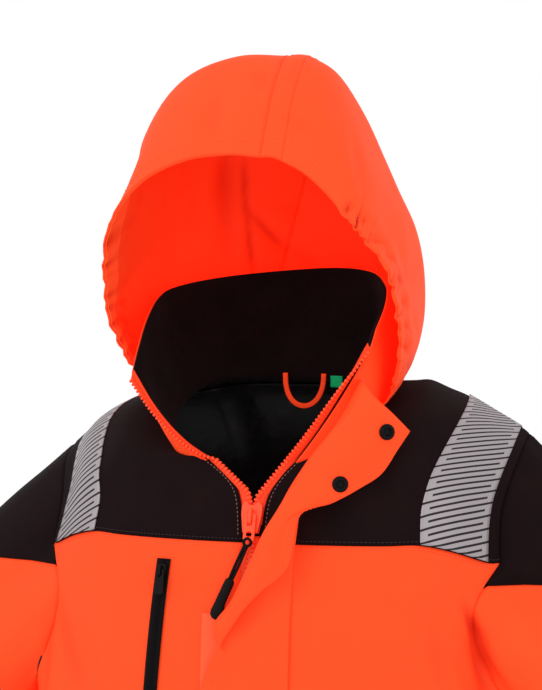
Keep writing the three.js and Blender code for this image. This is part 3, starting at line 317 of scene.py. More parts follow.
def backPanel():
    armHeight = backHeight(backReach)

    def place(i, j):
        seam = seats[i][0]
        part = seam / seats[-1][0]
        low = (j - armRows) / bodyRows if j > armRows else 0
        sideHeight = (mix(armHeight, underarmHeight, j / armRows) if j <= armRows
                      else mix(underarmHeight, hemHeight, low))
        if j == 0:
            return onBody(seam, backHeight(abs(seam)), 1)
        centreHeight = mix(backSeamHeight, hemHeight, (armHeight - sideHeight) / (armHeight - hemHeight))
        z = mix(centreHeight, sideHeight, smoothstep(abs(part), 0.6, 1))
        widest = armholeWidth(armholeBack, sideHeight) if j <= armRows else ring("halfWidth", sideHeight)
        return onBody(math.copysign(1, part) * widest * spread(abs(part), j), z, 1)
    return grid(armRows + bodyRows, backCols, place)


# Fine sheets: each CAD grid cut finer on a smooth surface through its points
class Sheet:
    def __init__(self, points, closed=False):
        self.p, self.closed, self.n = points, closed, None
        # fold holds how much painted shade each point gets, from the valleys of its creases and gathers
        self.fold = np.zeros(points.shape[:2])

    def flipped(self):
        return Sheet(self.p[:, ::-1], self.closed)


def finer(p, closed=False):
    if closed:
        padded = np.concatenate([p[-1:], p, p[:2]])
    else:
        padded = np.concatenate([[2 * p[0] - p[1]], p, [2 * p[-1] - p[-2]]])
    a, b, c, d = padded[:-3], padded[1:-2], padded[2:-1], padded[3:]
    out = []
    for k in range(fine):
        t = k / fine
        out.append(0.5 * (2 * b + (c - a) * t + (2 * a - 5 * b + 4 * c - d) * t * t
                          + (3 * b - a - 3 * c + d) * t ** 3))
    smooth = np.stack(out, 1).reshape((-1,) + p.shape[1:])
    return smooth if closed else np.concatenate([smooth, p[-1:]])


def refined(g, closed=False):
    across = finer(np.swapaxes(g, 0, 1), closed)
    return Sheet(finer(np.swapaxes(across, 0, 1)), closed)


# Armhole points with their turn about the arm, from the shoulder round the front and back to it
def armholeLoop(side, front, back, yokeFront, yokeBack):
    backCol = 0 if side == "right" else -1
    frontTop, arm, backTop = capFrontRows * fine, armRows * fine, capBackRows * fine
    t = armTurns
    loop = [(yokeFront[j, -1], t["front"] * (1 - j / frontTop)) for j in range(frontTop, 0, -1)]
    loop += [(front[j, -1], mix(t["front"], t["under"], j / arm)) for j in range(arm)]
    loop += [(back[j, backCol], mix(t["back"], t["under"], j / arm)) for j in range(arm, 0, -1)]
    return loop + [(yokeBack[j, backCol], mix(t["back"], t["full"], j / backTop)) for j in range(backTop)]


def sleeveGrids(side, loop):
    s, runs = sign[side], []
    for p, turn in loop:
        angle = math.radians(turn)
        rings = []
        for across, y, z, wide, deep, tilt in sleeveRings:
            lean, out = math.radians(tilt), wide * math.cos(angle)
            rings.append(np.array([s * (across + out * math.cos(lean)), y - deep * math.sin(angle),
                                   z + out * math.sin(lean)]))
        lift = capBulge * math.cos(angle / 2) ** 2 * abs(math.cos(angle / 2))
        runs.append(Curve([p, (p + rings[0]) / 2 + (s * lift, 0, lift * 0.6)] + rings))

    def passes(run):
        if run.at(0)[2] < capSeamHeight + 0.8:
            return 0
        low, high = 0, 0.5
        for _ in range(24):
            middle = (low + high) / 2
            if run.at(middle)[2] > capSeamHeight:
                low = middle
            else:
                high = middle
        return low
    count = len(loop)
    seam = [passes(run) for run in runs]
    first = next(i for i in range(count // 2, count) if seam[i] > 0)
    last = next(i for i in range(count // 2) if seam[i] == 0) - 1
    columns = list(range(first, count)) + list(range(last + 1))
    cap = grid(capRows, len(columns) - 1, lambda i, j: runs[columns[i]].at(seam[columns[i]] * j / capRows))
    sleeve = grid(sleeveRows, count, lambda i, j: runs[i].at(mix(seam[i], 1, (j / sleeveRows) ** 1.1)), True)
    return Sheet(finer(cap)), Sheet(finer(sleeve), True)


def addNormals(sheets):
    points, sums = [], []
    for s in sheets:
        p = s.p if not s.closed else np.concatenate([s.p, s.p[:, :1]], 1)
        cross = np.cross(p[1:, 1:] - p[:-1, :-1], p[1:, :-1] - p[:-1, 1:])
        total = np.zeros_like(p)
        for rows, cols in ((slice(0, -1), slice(0, -1)), (slice(1, None), slice(0, -1)),
                           (slice(0, -1), slice(1, None)), (slice(1, None), slice(1, None))):
            total[rows, cols] += cross
        if s.closed:
            total[:, 0] += total[:, -1]
            total = total[:, :-1]
        points.append(s.p.reshape(-1, 3))
        sums.append(total.reshape(-1, 3))
    places, normals = np.concatenate(points), np.concatenate(sums)
    _, group = np.unique(np.round(places / weldSize).astype(np.int64), axis=0, return_inverse=True)
    group = group.reshape(-1)
    welded = np.zeros((group.max() + 1, 3))
    np.add.at(welded, group, normals)
    normals = welded[group]
    normals /= np.linalg.norm(normals, axis=1, keepdims=True) + 1e-12
    at = 0
    for s in sheets:
        count = s.p.shape[0] * s.p.shape[1]
        s.n = normals[at:at + count].reshape(s.p.shape)
        at += count
    return sheets


# Creases placed one by one: from, to, half width, depth (negative is a trough)
mainCreases = [
    ((-176, -104, -170), (-120, -150, -330), 22, -3.4), ((-196, -80, -215), (-150, -130, -420), 26, 6),
    ((178, -104, -168), (196, -88, -300), 20, -9), ((186, -96, -200), (130, -148, -380), 26, 6),
    ((-120, -150, -420), (-150, -130, -700), 30, -7), ((118, -150, -430), (140, -136, -700), 30, -7),
    ((-90, -150, -480), (-96, -152, -735), 24, 5), ((-180, 84, -200), (-90, 138, -420), 28, -8),
    ((180, 84, -200), (96, 138, -430), 28, -8), ((-60, 138, -300), (-130, 120, -700), 34, 7),
    ((70, 138, -320), (140, 118, -690), 34, 7), ((0, 140, -420), (10, 145, -735), 30, -6),
    ((-262, -74, -300), (-350, -70, -420), 18, -7), ((-300, -84, -420), (-392, -30, -500), 20, -8),
    ((-286, 40, -460), (-396, 10, -560), 18, -7), ((-345, -86, -560), (-404, -50, -620), 15, -6),
    ((262, -74, -310), (352, -70, -410), 18, -7), ((296, -84, -430), (390, -40, -520), 20, -8),
    ((288, 44, -450), (396, 10, -540), 18, -7), ((342, -86, -570), (404, -50, -630), 15, -6),
    ((-150, -80, 84), (-134, 40, 120), 15, -3), ((-146, -80, 60), (-140, 10, 52), 11, 3),
    ((116, -84, 76), (110, 30, 110), 13, -3.4), ((118, -80, 46), (112, 20, 44), 11, 3),
    ((96, -80, 118), (84, 40, 176), 15, -3), ((-120, -80, 172), (-130, 20, 214), 20, 3),
]
smallCreases = [
    ((-186, -92, -160), (-150, -128, -255), 9, -2.6), ((-196, -84, -190), (-160, -124, -300), 8, 2.2),
    ((-60, -152, -150), (-40, -158, -420), 16, -1.6), ((-110, -143, -150), (-128, -146, -300), 14, 1.6),
    ((60, -152, -140), (74, -155, -330), 15, 1.7), ((96, -146, -140), (112, -150, -380), 16, -1.8),
    ((150, -124, -150), (168, -116, -280), 10, -2.6), ((186, -96, -178), (216, -60, -260), 8, -3.4),
    ((176, -108, -200), (206, -74, -290), 7, 2.6), ((-204, -60, -250), (-196, -92, -400), 14, -3),
    ((206, -60, -260), (198, -92, -420), 14, -3), ((-60, -152, -500), (-20, -152, -700), 18, -2.4),
    ((60, -152, -480), (40, -153, -720), 18, -2.4), ((-180, -104, -520), (-196, -92, -720), 18, 3),
    ((180, -104, -520), (196, -92, -720), 18, 3), ((-150, 110, -240), (-170, 92, -520), 18, 3),
    ((150, 110, -240), (170, 92, -520), 18, 3), ((-30, 140, -220), (-70, 136, -400), 20, -2.6),
    ((30, 140, -230), (76, 134, -430), 20, -2.6), ((-250, -60, -190), (-300, -70, -300), 12, -3.4),
    ((-240, 50, -210), (-310, 40, -330), 13, -3.4), ((250, -60, -190), (300, -70, -300), 12, -3.4),
    ((240, 50, -210), (310, 40, -330), 13, -3.4), ((-352, -76, -470), (-306, -70, -520), 10, -3.2),
    ((352, -76, -470), (306, -70, -520), 10, -3.2), ((-396, -20, -600), (-346, -96, -640), 10, -3.2),
    ((396, -20, -600), (346, -96, -640), 10, -3.2), ((-330, 60, -380), (-376, 20, -470), 12, 3),
    ((330, 60, -380), (376, 20, -470), 12, 3), ((-100, -118, -80), (-150, -104, -60), 14, -1.6),
    ((90, -128, -90), (140, -112, -70), 14, -1.6), ((-130, -80, -34), (-110, -108, -92), 12, 1.6),
    ((130, -86, -20), (120, -112, -90), 12, 1.6), ((172, -101, -160), (190, -89, -210), 4.5, -5),
    ((180, -96, -180), (194, -86, -262), 7, -7), ((192, -84, -236), (198, -80, -330), 8, -7),
    ((186, -110, -176), (212, -84, -240), 9, 3), ((-184, -92, -180), (-190, -93, -290), 8, -5),
]
hoodCreases = [
    ((-78, 108, 200), (-77, 111, 142), 3.8, 4.6), ((-77, 111, 158), (-71, 113, 84), 3.8, 4.6),
    ((-92, 99, 214), (-93, 100, 146), 10, 6.6), ((-93, 100, 184), (-90, 101, 92), 11, 5.2),
    ((-77, 112, 151), (-45, 128, 112), 4.6, 5), ((-62, 123, 128), (-12, 131, 96), 6, 4),
    ((-64, 120, 150), (-30, 134, 132), 9, -4), ((-112, 84, 186), (-116, 82, 120), 13, 2.2),
    ((-30, 135, 186), (12, 132, 140), 8, 3), ((-30, -5, 274), (-17, -35, 244), 8, -2.4),
    ((-58, -20, 256), (-50, -72, 203), 12, -3), ((-36, -30, 250), (-30, -66, 210), 12, 2.2),
    ((-104, -30, 226), (-80, -66, 200), 16, -2.6), ((-20, -44, 238), (54, -54, 208), 12, -2.6),
    ((24, -30, 240), (62, -60, 190), 12, 2.2), ((58, -20, 216), (84, -60, 158), 9, -2.2),
    ((104, -46, 100), (112, -20, 130), 12, -2.4), ((110, -63, 78), (116, -20, 86), 9, 2),
    ((114, -50, 58), (120, -10, 52), 11, -2.6), ((112, -60, 26), (112, -20, 14), 8, -2.2),
    ((-122, -62, 176), (-126, -20, 204), 12, -2.4), ((-137, -40, 132), (-139, -6, 140), 5, 2.6),
    ((-141, -40, 107), (-144, -6, 110), 4, 2.8), ((-144, -36, 87), (-147, -4, 88), 4, 2.8),
    ((-147, -32, 70), (-149, -2, 66), 4, 2.6), ((-145, -30, 56), (-147, 0, 50), 4, 2.4),
    ((-140, -26, 44), (-143, 0, 36), 4, 2.2), ((66, -82, 149), (78, -64, 162), 3.8, -4.4),
    ((76, -80, 141), (88, -58, 149), 3.8, -4.2), ((88, -82, 124), (100, -54, 131), 3.8, -4.4),
    ((97, -78, 111), (108, -48, 117), 3.8, -4.2), ((103, -74, 96), (112, -42, 98), 3.8, -4.4),
    ((108, -74, 80), (116, -44, 76), 3.8, -4), ((112, -76, 62), (118, -48, 54), 3.8, -4.2),
    ((114, -76, 46), (119, -52, 34), 3.8, -4),
]

# The shade of a valley: by its steepness on a crease, and full on a gather this deep in millimetres
creaseShade, gatherFull = 0.62, 1.7


def creaseDepth(p, creases):
    depth, fold = np.zeros(p.shape[:-1]), np.zeros(p.shape[:-1])
    for start, end, wide, deep in creases:
        a, b = np.array(start, float), np.array(end, float)
        run = b - a
        along = np.clip((p - a) @ run / (run @ run), 0, 1)
        near = a + along[..., None] * run
        fade = np.sin(math.pi * mix(0.12, 0.88, along)) ** 2
        shape = deep * fade * np.exp(-np.sum((near - p) ** 2, -1) / wide ** 2)
        depth += shape
        fold += shape * creaseShade / wide
    return depth, fold


def crease(sheets, creases):
    addNormals(sheets)
    for s in sheets:
        depth, fold = creaseDepth(s.p, creases)
        s.fold = s.fold + fold
        s.p = s.p + s.n * depth[..., None]
    return addNormals(sheets)


print("making the shell")
yokes = {side: frontYoke(side) for side in sign}
fineYokes = {side: refined(yokes[side]) for side in sign}
fineFronts = {side: refined(frontPanel(side, yokes[side])) for side in sign}
fineBackYoke, fineBack = refined(backYoke()), refined(backPanel())
caps, sleeves = {}, {}
for side in sign:
    loop = armholeLoop(side, fineFronts[side].p, fineBack.p, fineYokes[side].p, fineBackYoke.p)
    caps[side], sleeves[side] = sleeveGrids(side, loop)
shell = {
    "yoke_front_right": fineYokes["right"].flipped(), "yoke_front_left": fineYokes["left"],
    "front_right": fineFronts["right"], "front_left": fineFronts["left"].flipped(),
    "yoke_back": fineBackYoke.flipped(), "back": fineBack,
    "sleeve_cap_right": caps["right"].flipped(), "sleeve_cap_left": caps["left"],
    "sleeve_right": sleeves["right"].flipped(), "sleeve_left": sleeves["left"],
}
crease(list(shell.values()), mainCreases + smallCreases)


# Materials: one class wraps a socket, so that shader maths reads as sums
class Field:
    def __init__(self, tree, socket):
        self.tree, self.socket = tree, socket

    def make(self, kind, settings=None, values=None, output=0):
        node = self.tree.nodes.new(kind)
        for name, value in (settings or {}).items():
            setattr(node, name, value)
        for name, value in (values or {}).items():
            if isinstance(value, Field):
                self.tree.links.new(value.socket, node.inputs[name])
            else:
                node.inputs[name].default_value = value
        return Field(self.tree, node.outputs[output])

    def maths(self, operation, first, second):
        return self.make("ShaderNodeMath", {"operation": operation}, {0: first, 1: second})

    def __add__(self, other):
        return self.maths("ADD", self, other)

    def __sub__(self, other):
        return self.maths("SUBTRACT", self, other)

    def __rsub__(self, other):
        return self.maths("SUBTRACT", other, self)

    def __mul__(self, other):
        return self.maths("MULTIPLY", self, other)

    def __lt__(self, other):
        return self.maths("LESS_THAN", self, other)

    def __gt__(self, other):
        return self.maths("GREATER_THAN", self, other)

    def __mod__(self, other):
        return self.maths("FLOORED_MODULO", self, other)

    def sine(self):
        return self.make("ShaderNodeMath", {"operation": "SINE"}, {0: self})

    def ramp(self, low, high):  # 0 at low, 1 at high
        return self.make("ShaderNodeMapRange", {}, {0: self, 1: low, 2: high, 3: 0.0, 4: 1.0})

    def blend(self, first, second):
        return self.make("ShaderNodeMix", {"data_type": "RGBA"}, {0: self, 6: first, 7: second}, 2)

    __radd__, __rmul__ = __add__, __mul__


def finish(name, colour, roughness, metallic=0.0, sheen=0.0, gloss=0.3, glow=None):
    made = bpy.data.materials.new(name)
    made.use_nodes = True
    tree = made.node_tree
    shader = tree.nodes["Principled BSDF"]
    shader.inputs["Base Color"].default_value = (*colour, 1)
    shader.inputs["Roughness"].default_value = roughness
    shader.inputs["Metallic"].default_value = metallic
    shader.inputs["Sheen Weight"].default_value = sheen
    shader.inputs["Specular IOR Level"].default_value = gloss
    # glow: colour and strength of an even painted glow (emission), the same under any lamp
    if glow:
        shader.inputs["Emission Color"].default_value = (*glow[0], 1)
        shader.inputs["Emission Strength"].default_value = glow[1]
    return made, shader, Field(tree, None)


def feed(shader, name, field):
    field.tree.links.new(field.socket, shader.inputs[name])


def bump(shader, height, distance=0.001):
    shaped = height.make("ShaderNodeBump", {}, {"Strength": 1.0, "Distance": distance, "Height": height})
    feed(shader, "Normal", shaped)


def objectNoise(base, size, detail=2.0):
    place = base.make("ShaderNodeTexCoord", output=3)
    return base.make("ShaderNodeTexNoise", {}, {"Vector": place, "Scale": 1 / size, "Detail": detail})


def cutPlace(base):
    place = base.make("ShaderNodeUVMap", {"uv_map": "cut"})
    parts = base.make("ShaderNodeSeparateXYZ", {}, {0: place})
    return parts, Field(base.tree, parts.socket.node.outputs[1])


def cloth(name, colour, roughness, ripple, weave, sheen=0.0, gloss=0.12, glow=None, valleyShade=None):
    made, shader, base = finish(name, colour, roughness, 0, sheen, gloss, glow)
    across, along = cutPlace(base)
    twill = ((across + along) * (fullTurn / weave["pitch"])).sine() * weave["deep"]
    soft = objectNoise(base, 0.055, 3) * ripple["large"] + objectNoise(base, 0.014, 2) * ripple["small"]
    bump(shader, twill + soft)
    tone = objectNoise(base, 0.03, 3).ramp(0.3, 0.7)
    darker = tuple(c * weave["tone"] for c in colour)
    shown = tone.blend((*darker, 1), (*colour, 1))
    # Painted shade: where the fold attribute marks a valley, the colour and glow go over to darker, dimmer
    # ones
    if valleyShade:
        fold = base.make("ShaderNodeAttribute", {"attribute_name": "fold"}, output=2)
        low = fold.ramp(-0.06, -1.0)
        shown = low.blend(shown, (*valleyShade["colour"], 1))
        feed(shader, "Emission Color", low.blend((*glow[0], 1), (*valleyShade["glow"], 1)))
    feed(shader, "Base Color", shown)
    return made


def plainFinish(name, colour, roughness, gloss=0.2, glow=None):
    made, shader, base = finish(name, colour, roughness, 0, 0, gloss, glow)
    bump(shader, objectNoise(base, 0.004, 2) * 0.12)
    return made


# Painted glow on the orange cloth: an even emission that lifts its red and flattens its shading under any
# lamp
paintedGlow = ((1.0, 0.028, 0.005), 0.24)
# For each orange the last table is a painted shade: the darker colour and dimmer glow in the valleys of folds
# and gathers
shellOrange = cloth("shellOrange", (0.92, 0.078, 0.017), 0.65, {"large": 0.9, "small": 0.22},
                    {"pitch": 0.0011, "deep": 0.03, "tone": 0.97}, 0, 0.1, paintedGlow,
                    {"colour": (0.56, 0.008, 0.003), "glow": (0.34, 0.002, 0.0)})
# The facing in the brim is the same orange painted lighter, with a stronger glow: a painted light where the
# brim is lit
litFacingOrange = cloth("litFacingOrange", (0.92, 0.085, 0.02), 0.65, {"large": 0.9, "small": 0.22},
                     {"pitch": 0.0011, "deep": 0.03, "tone": 0.97}, 0, 0.1, ((1.0, 0.075, 0.02), 0.3),
                     {"colour": (0.6, 0.012, 0.004), "glow": (0.34, 0.004, 0.001)})
panelBlack = cloth("panelBlack", (0.0095, 0.0026, 0.0032), 0.85, {"large": 0.9, "small": 0.3},
                   {"pitch": 0.0012, "deep": 0.05, "tone": 0.7}, 0, 0.1)
fleeceBlack = cloth("fleeceBlack", (0.0085, 0.0042, 0.0046), 1.0, {"large": 1.2, "small": 0.8},
                    {"pitch": 0.003, "deep": 0.06, "tone": 0.6}, 0.02, 0.06)
liningBlack = cloth("liningBlack", (0.0055, 0.0035, 0.004), 0.4, {"large": 2.4, "small": 0.5},
                    {"pitch": 0.0008, "deep": 0.01, "tone": 0.8}, 0, 0.3)
zipOrange = plainFinish("zipOrange", (0.85, 0.055, 0.012), 0.5, 0.15, ((1.0, 0.02, 0.004), 0.16))
teethOrange = plainFinish("teethOrange", (0.9, 0.075, 0.018), 0.42, 0.3, ((1.0, 0.03, 0.006), 0.14))
zipBlack = plainFinish("zipBlack", (0.0028, 0.0018, 0.002), 0.36, 0.12)
rubberBlack = plainFinish("rubberBlack", (0.0034, 0.0026, 0.0026), 0.5, 0.1)
snapDark = plainFinish("snapDark", (0.004, 0.003, 0.0034), 0.42, 0.08)
labelGreen = cloth("labelGreen", (0.006, 0.55, 0.19), 0.6, {"large": 0.2, "small": 0.1},
                   {"pitch": 0.0009, "deep": 0.04, "tone": 0.8})
threadOrange = plainFinish("threadOrange", (1.0, 0.125, 0.035), 0.6)
threadPale = plainFinish("threadPale", (0.22, 0.13, 0.10), 0.6)
threadBlack = plainFinish("threadBlack", (0.03, 0.024, 0.026), 0.7)


def reflectiveFinish(name, s, slant):
    made, shader, base = finish(name, s["silver"], s["rough"], 0.25)
    across, along = cutPlace(base)
    row = (along - across * slant) * (1 / s["pitch"])
    line = (row % 1) < s["line"] / s["pitch"]
    alternate = (row * 0.5 % 1) < 0.5
    middle = (across > s["inset"]) * (across < s["wide"] - s["inset"])
    dark = line * (alternate + middle - alternate * middle)
    feed(shader, "Base Color", dark.blend((*s["silver"], 1), (*s["dark"], 1)))
    feed(shader, "Roughness", s["rough"] + dark * 0.3)
    bump(shader, objectNoise(base, 0.03, 2) * 0.5 + (1 - dark) * 0.1)
    return made


reflective = {"silver": (0.35, 0.315, 0.33), "dark": (0.02, 0.014, 0.016), "rough": 0.42,
              "pitch": 0.0055, "line": 0.0019, "inset": 0.0048, "wide": 0.047}
reflectiveSilver = {"right": reflectiveFinish("reflectiveRight", reflective, 0.45),
                    "left": reflectiveFinish("reflectiveLeft", reflective, 0.58)}


def coilFinish(s):
    made, shader, base = finish("zipCoil", s["colour"], 0.6, 0, 0, 0.08)
    across, along = cutPlace(base)
    middle = (across > s["from"]) * (across < s["to"])
    coil = (along * (fullTurn / s["pitch"])).sine() * (0.15 + middle * 0.85)
    bump(shader, coil * 0.5, 0.0006)
    return made


zipCoil = coilFinish({"colour": (0.003, 0.0018, 0.002), "pitch": 0.0015, "from": 0.0035, "to": 0.0085})


def hookFinish(s):
    made, shader, base = finish("hookOrange", s["colour"], 0.85, 0, 0, 0.1, s["glow"])
    across, along = cutPlace(base)
    ribs = (along * (fullTurn / s["pitch"])).sine() * 0.5 + (across * (fullTurn / s["loops"])).sine() * 0.3
    bump(shader, ribs, 0.0003)
    return made


hookOrange = hookFinish({"colour": (0.95, 0.12, 0.045), "glow": ((1.0, 0.06, 0.02), 0.2),
                         "pitch": 0.0017, "loops": 0.0015})
print("materials made")


# Making pieces
def meshObject(name, points, faces, materials, uv=None, kinds=None):
    data = bpy.data.meshes.new(name)
    corners = faces if isinstance(faces, list) else faces.tolist()
    data.from_pydata((np.asarray(points) * metre).tolist(), [], corners)
    made = bpy.data.objects.new(name, data)
    scene.collection.objects.link(made)
    for m in materials:
        data.materials.append(m)
    if kinds is not None:
        data.polygons.foreach_set("material_index", kinds)
    data.polygons.foreach_set("use_smooth", [True] * len(data.polygons))
    if uv is not None:
        layer = data.uv_layers.new(name="cut")
        corners = np.empty(len(data.loops), dtype=np.int32)
        data.loops.foreach_get("vertex_index", corners)
        layer.data.foreach_set("uv", (uv[corners] * metre).astype(np.float32).ravel())
    data.update()
    return made


# Lengths along each row and each column of a sheet, up to each point
def arcs(p):
    across, along = np.zeros(p.shape[:2]), np.zeros(p.shape[:2])
    across[:, 1:] = np.cumsum(np.linalg.norm(np.diff(p, axis=1), axis=2), 1)
    along[1:] = np.cumsum(np.linalg.norm(np.diff(p, axis=0), axis=2), 0)
    return across, along


# Closed wall on a sheet: low and high are distances along the normals, in millimetres.
# dip lowers the outside along each named side, so a seam reads as a valley, and draw pulls a side in.
# innerMaterial gives the inside the second material, and cutWide evens the pattern out over that width.
def wallObject(name, sheet, low, high, materials, dip=None, draw=None, innerMaterial=False, cutWide=None):
    p, n, closed = sheet.p, sheet.n, sheet.closed
    rows, cols = p.shape[:2]
    draw, dip = draw or {}, dip or {}
    shift = np.zeros_like(p)
    sides = {"start": (np.s_[0], np.s_[1]), "end": (np.s_[-1], np.s_[-2]),
             "left": (np.s_[:, 0], np.s_[:, 1]), "right": (np.s_[:, -1], np.s_[:, -2])}
    for side, distance in draw.items():
        if closed and side in ("left", "right"):
            continue
        here, inside = sides[side]
        way = p[inside] - p[here]
        shift[here] += way / (np.linalg.norm(way, axis=-1, keepdims=True) + 1e-9) * distance
    lift = np.zeros(p.shape[:2])
    for side, depth in dip.items():
        here, _ = sides[side]
        lift[here] = np.maximum(lift[here], depth)
    outer = p + shift + n * (high - lift)[..., None]
    inner = p + shift + n * low
    across, along = arcs(p)
    if cutWide:
        across = across / across[:, -1:] * cutWide
    uvOne = np.stack([across, along], -1).reshape(-1, 2)
    index = np.arange(rows * cols).reshape(rows, cols)
    ahead = np.roll(index, -1, 1) if closed else index[:, 1:]
    here = index if closed else index[:, :-1]
    a, b, c, d = here[:-1], ahead[:-1], ahead[1:], here[1:]
    outside = np.stack([a, b, c, d], -1).reshape(-1, 4)
    size = rows * cols
    within = np.stack([a, d, c, b], -1).reshape(-1, 4) + size
    rims = [np.stack([here[0], here[0] + size, ahead[0] + size, ahead[0]], -1),
            np.stack([here[-1], ahead[-1], ahead[-1] + size, here[-1] + size], -1)]
    if not closed:
        rims += [np.stack([index[:-1, 0], index[1:, 0], index[1:, 0] + size, index[:-1, 0] + size], -1),
                 np.stack([index[:-1, -1], index[:-1, -1] + size, index[1:, -1] + size, index[1:, -1]], -1)]
    faces = np.concatenate([outside, within] + rims)
    kinds = np.zeros(len(faces), dtype=np.int32)
    if innerMaterial:
        kinds[len(outside):2 * len(outside)] = 1
    points = np.concatenate([outer.reshape(-1, 3), inner.reshape(-1, 3)])
    made = meshObject(name, points, faces, materials, np.concatenate([uvOne, uvOne]), kinds)
    fold = sheet.fold.ravel()
    made.data.attributes.new("fold", "FLOAT", "POINT").data.foreach_set(
        "value", np.concatenate([fold, -fold]).astype(np.float32))
    made.data.polygons.foreach_set("use_smooth", np.arange(len(faces)) < 2 * len(outside))
    return made


def dress(made, body, slotName, *nodes):
    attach(made, body)
    if nodes:
        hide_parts(*nodes)
    return made


def cutSize(sheet):
    p = sheet.p if not sheet.closed else np.concatenate([sheet.p, sheet.p[:, :1]], 1)
    across, along = arcs(p)
    area = np.linalg.norm(np.cross(p[1:, 1:] - p[:-1, :-1], p[1:, :-1] - p[:-1, 1:]), axis=2).sum() / 2
    wide, long = across[:, -1].max(), along[-1].max()
    return wide * metre, long * metre, min(area * metre ** 2, wide * long * metre ** 2)


def declare(made, sheet):
    wide, long, area = cutSize(sheet)
    print("sheet", made.name, round(wide, 3), round(long, 3), round(area, 4))
    round(min(area, round(wide, 3) * round(long, 3)), 4)


# What repeats: a solid seated on marked points by Geometry Nodes
def repeatTree(name, solid):
    tree = bpy.data.node_groups.new(name, "GeometryNodeTree")
    tree.interface.new_socket(name="Seats", in_out="INPUT", socket_type="NodeSocketGeometry")
    for label in ("Long", "Wide", "Thick"):
        tree.interface.new_socket(name=label, in_out="INPUT", socket_type="NodeSocketFloat")
    tree.interface.new_socket(name="Finish", in_out="INPUT", socket_type="NodeSocketMaterial")
    tree.interface.new_socket(name="Made", in_out="OUTPUT", socket_type="NodeSocketGeometry")
    nodes, link = tree.nodes, tree.links.new
    given, result = nodes.new("NodeGroupInput"), nodes.new("NodeGroupOutput")
    size = nodes.new("ShaderNodeCombineXYZ")
    for k, label in enumerate(("Long", "Wide", "Thick")):
        link(given.outputs[label], size.inputs[k])
    if solid == "tooth":
        shape = nodes.new("GeometryNodeMeshCube")
    else:
        shape = nodes.new("GeometryNodeMeshUVSphere")
        for label, value in (("Segments", 7), ("Rings", 5), ("Radius", 0.5)):
            shape.inputs[label].default_value = value
    turn = nodes.new("FunctionNodeAxesToRotation")
    turn.primary_axis, turn.secondary_axis = "Z", "X"
    for label, socket in (("out", "Primary Axis"), ("along", "Secondary Axis")):
        read = nodes.new("GeometryNodeInputNamedAttribute")
        read.data_type = "FLOAT_VECTOR"
        read.inputs["Name"].default_value = label
        link(read.outputs["Attribute"], turn.inputs[socket])
    place = nodes.new("GeometryNodeInstanceOnPoints")
    link(given.outputs["Seats"], place.inputs["Points"])
    link(shape.outputs["Mesh"], place.inputs["Instance"])
    link(turn.outputs["Rotation"], place.inputs["Rotation"])
    link(size.outputs["Vector"], place.inputs["Scale"])
    real, paint = nodes.new("GeometryNodeRealizeInstances"), nodes.new("GeometryNodeSetMaterial")
    link(place.outputs["Instances"], real.inputs["Geometry"])
    link(real.outputs["Geometry"], paint.inputs["Geometry"])
    link(given.outputs["Finish"], paint.inputs["Material"])
    link(paint.outputs["Geometry"], result.inputs["Made"])
    return tree


stitchTree, toothTree = repeatTree("stitches", "stitch"), repeatTree("teeth", "tooth")
stitch = {"long": 2.5, "wide": 0.75, "thick": 0.6, "pitch": 3.4}


def repeated(name, tree, seatsAt, along, out, size, material):
    data = bpy.data.meshes.new(name + "Seats")
    data.from_pydata((np.asarray(seatsAt) * metre).tolist(), [], [])
    for label, values in (("along", along), ("out", out)):
        data.attributes.new(label, "FLOAT_VECTOR", "POINT").data.foreach_set(
            "vector", np.asarray(values, dtype=np.float32).ravel())
    holder = bpy.data.objects.new(name + "Seats", data)
    scene.collection.objects.link(holder)
    modifier = holder.modifiers.new("repeat", "NODES")
    modifier.node_group = tree
    known = {item.name: item.identifier for item in tree.interface.items_tree if item.in_out == "INPUT"}
    for label in ("Long", "Wide", "Thick"):
        modifier[known[label]] = size[label.lower()] * metre
    modifier[known["Finish"]] = material
    bpy.context.view_layer.update()
    graph = bpy.context.evaluated_depsgraph_get()
    made = bpy.data.objects.new(name, bpy.data.meshes.new_from_object(holder.evaluated_get(graph)))
    made.data.materials.clear()
    made.data.materials.append(material)
    made.data.polygons.foreach_set("use_smooth", [tree == stitchTree] * len(made.data.polygons))
    scene.collection.objects.link(made)
    bpy.data.objects.remove(holder)
    return made


# Stitch places along a line on a sheet, which is given by the row and column numbers of its points
def lineOn(sheet, places, out):
    rows, cols = sheet.p.shape[:2]

    def pick(values, j, i):
        j0, i0 = min(int(j), rows - 2), min(int(i), cols - 2)
        a, b = j - j0, i - i0
        return (values[j0, i0] * (1 - a) * (1 - b) + values[j0 + 1, i0] * a * (1 - b)
                + values[j0, i0 + 1] * (1 - a) * b + values[j0 + 1, i0 + 1] * a * b)
    path = np.array([pick(sheet.p, j, i) for j, i in places])
    normals = np.array([pick(sheet.n, j, i) for j, i in places])
    return evenly(path, normals, stitch["pitch"], out)


# Points at an even pitch along a path, with the way ahead and the way out at each
def evenly(path, normals, pitch, out, clear=0):
    run, halfStep = lengths(path), 0.6
    count = max(int((run[-1] - 2 * clear) / pitch), 1)
    at = clear + (np.arange(count) + 0.5) * (run[-1] - 2 * clear) / count

    def read(values, places):
        return np.stack([np.interp(places, run, values[:, k]) for k in range(3)], -1)
    n = unit(read(normals, at))
    ahead = read(path, at + halfStep) - read(path, at - halfStep)
    return read(path, at) + n * out, ahead, n


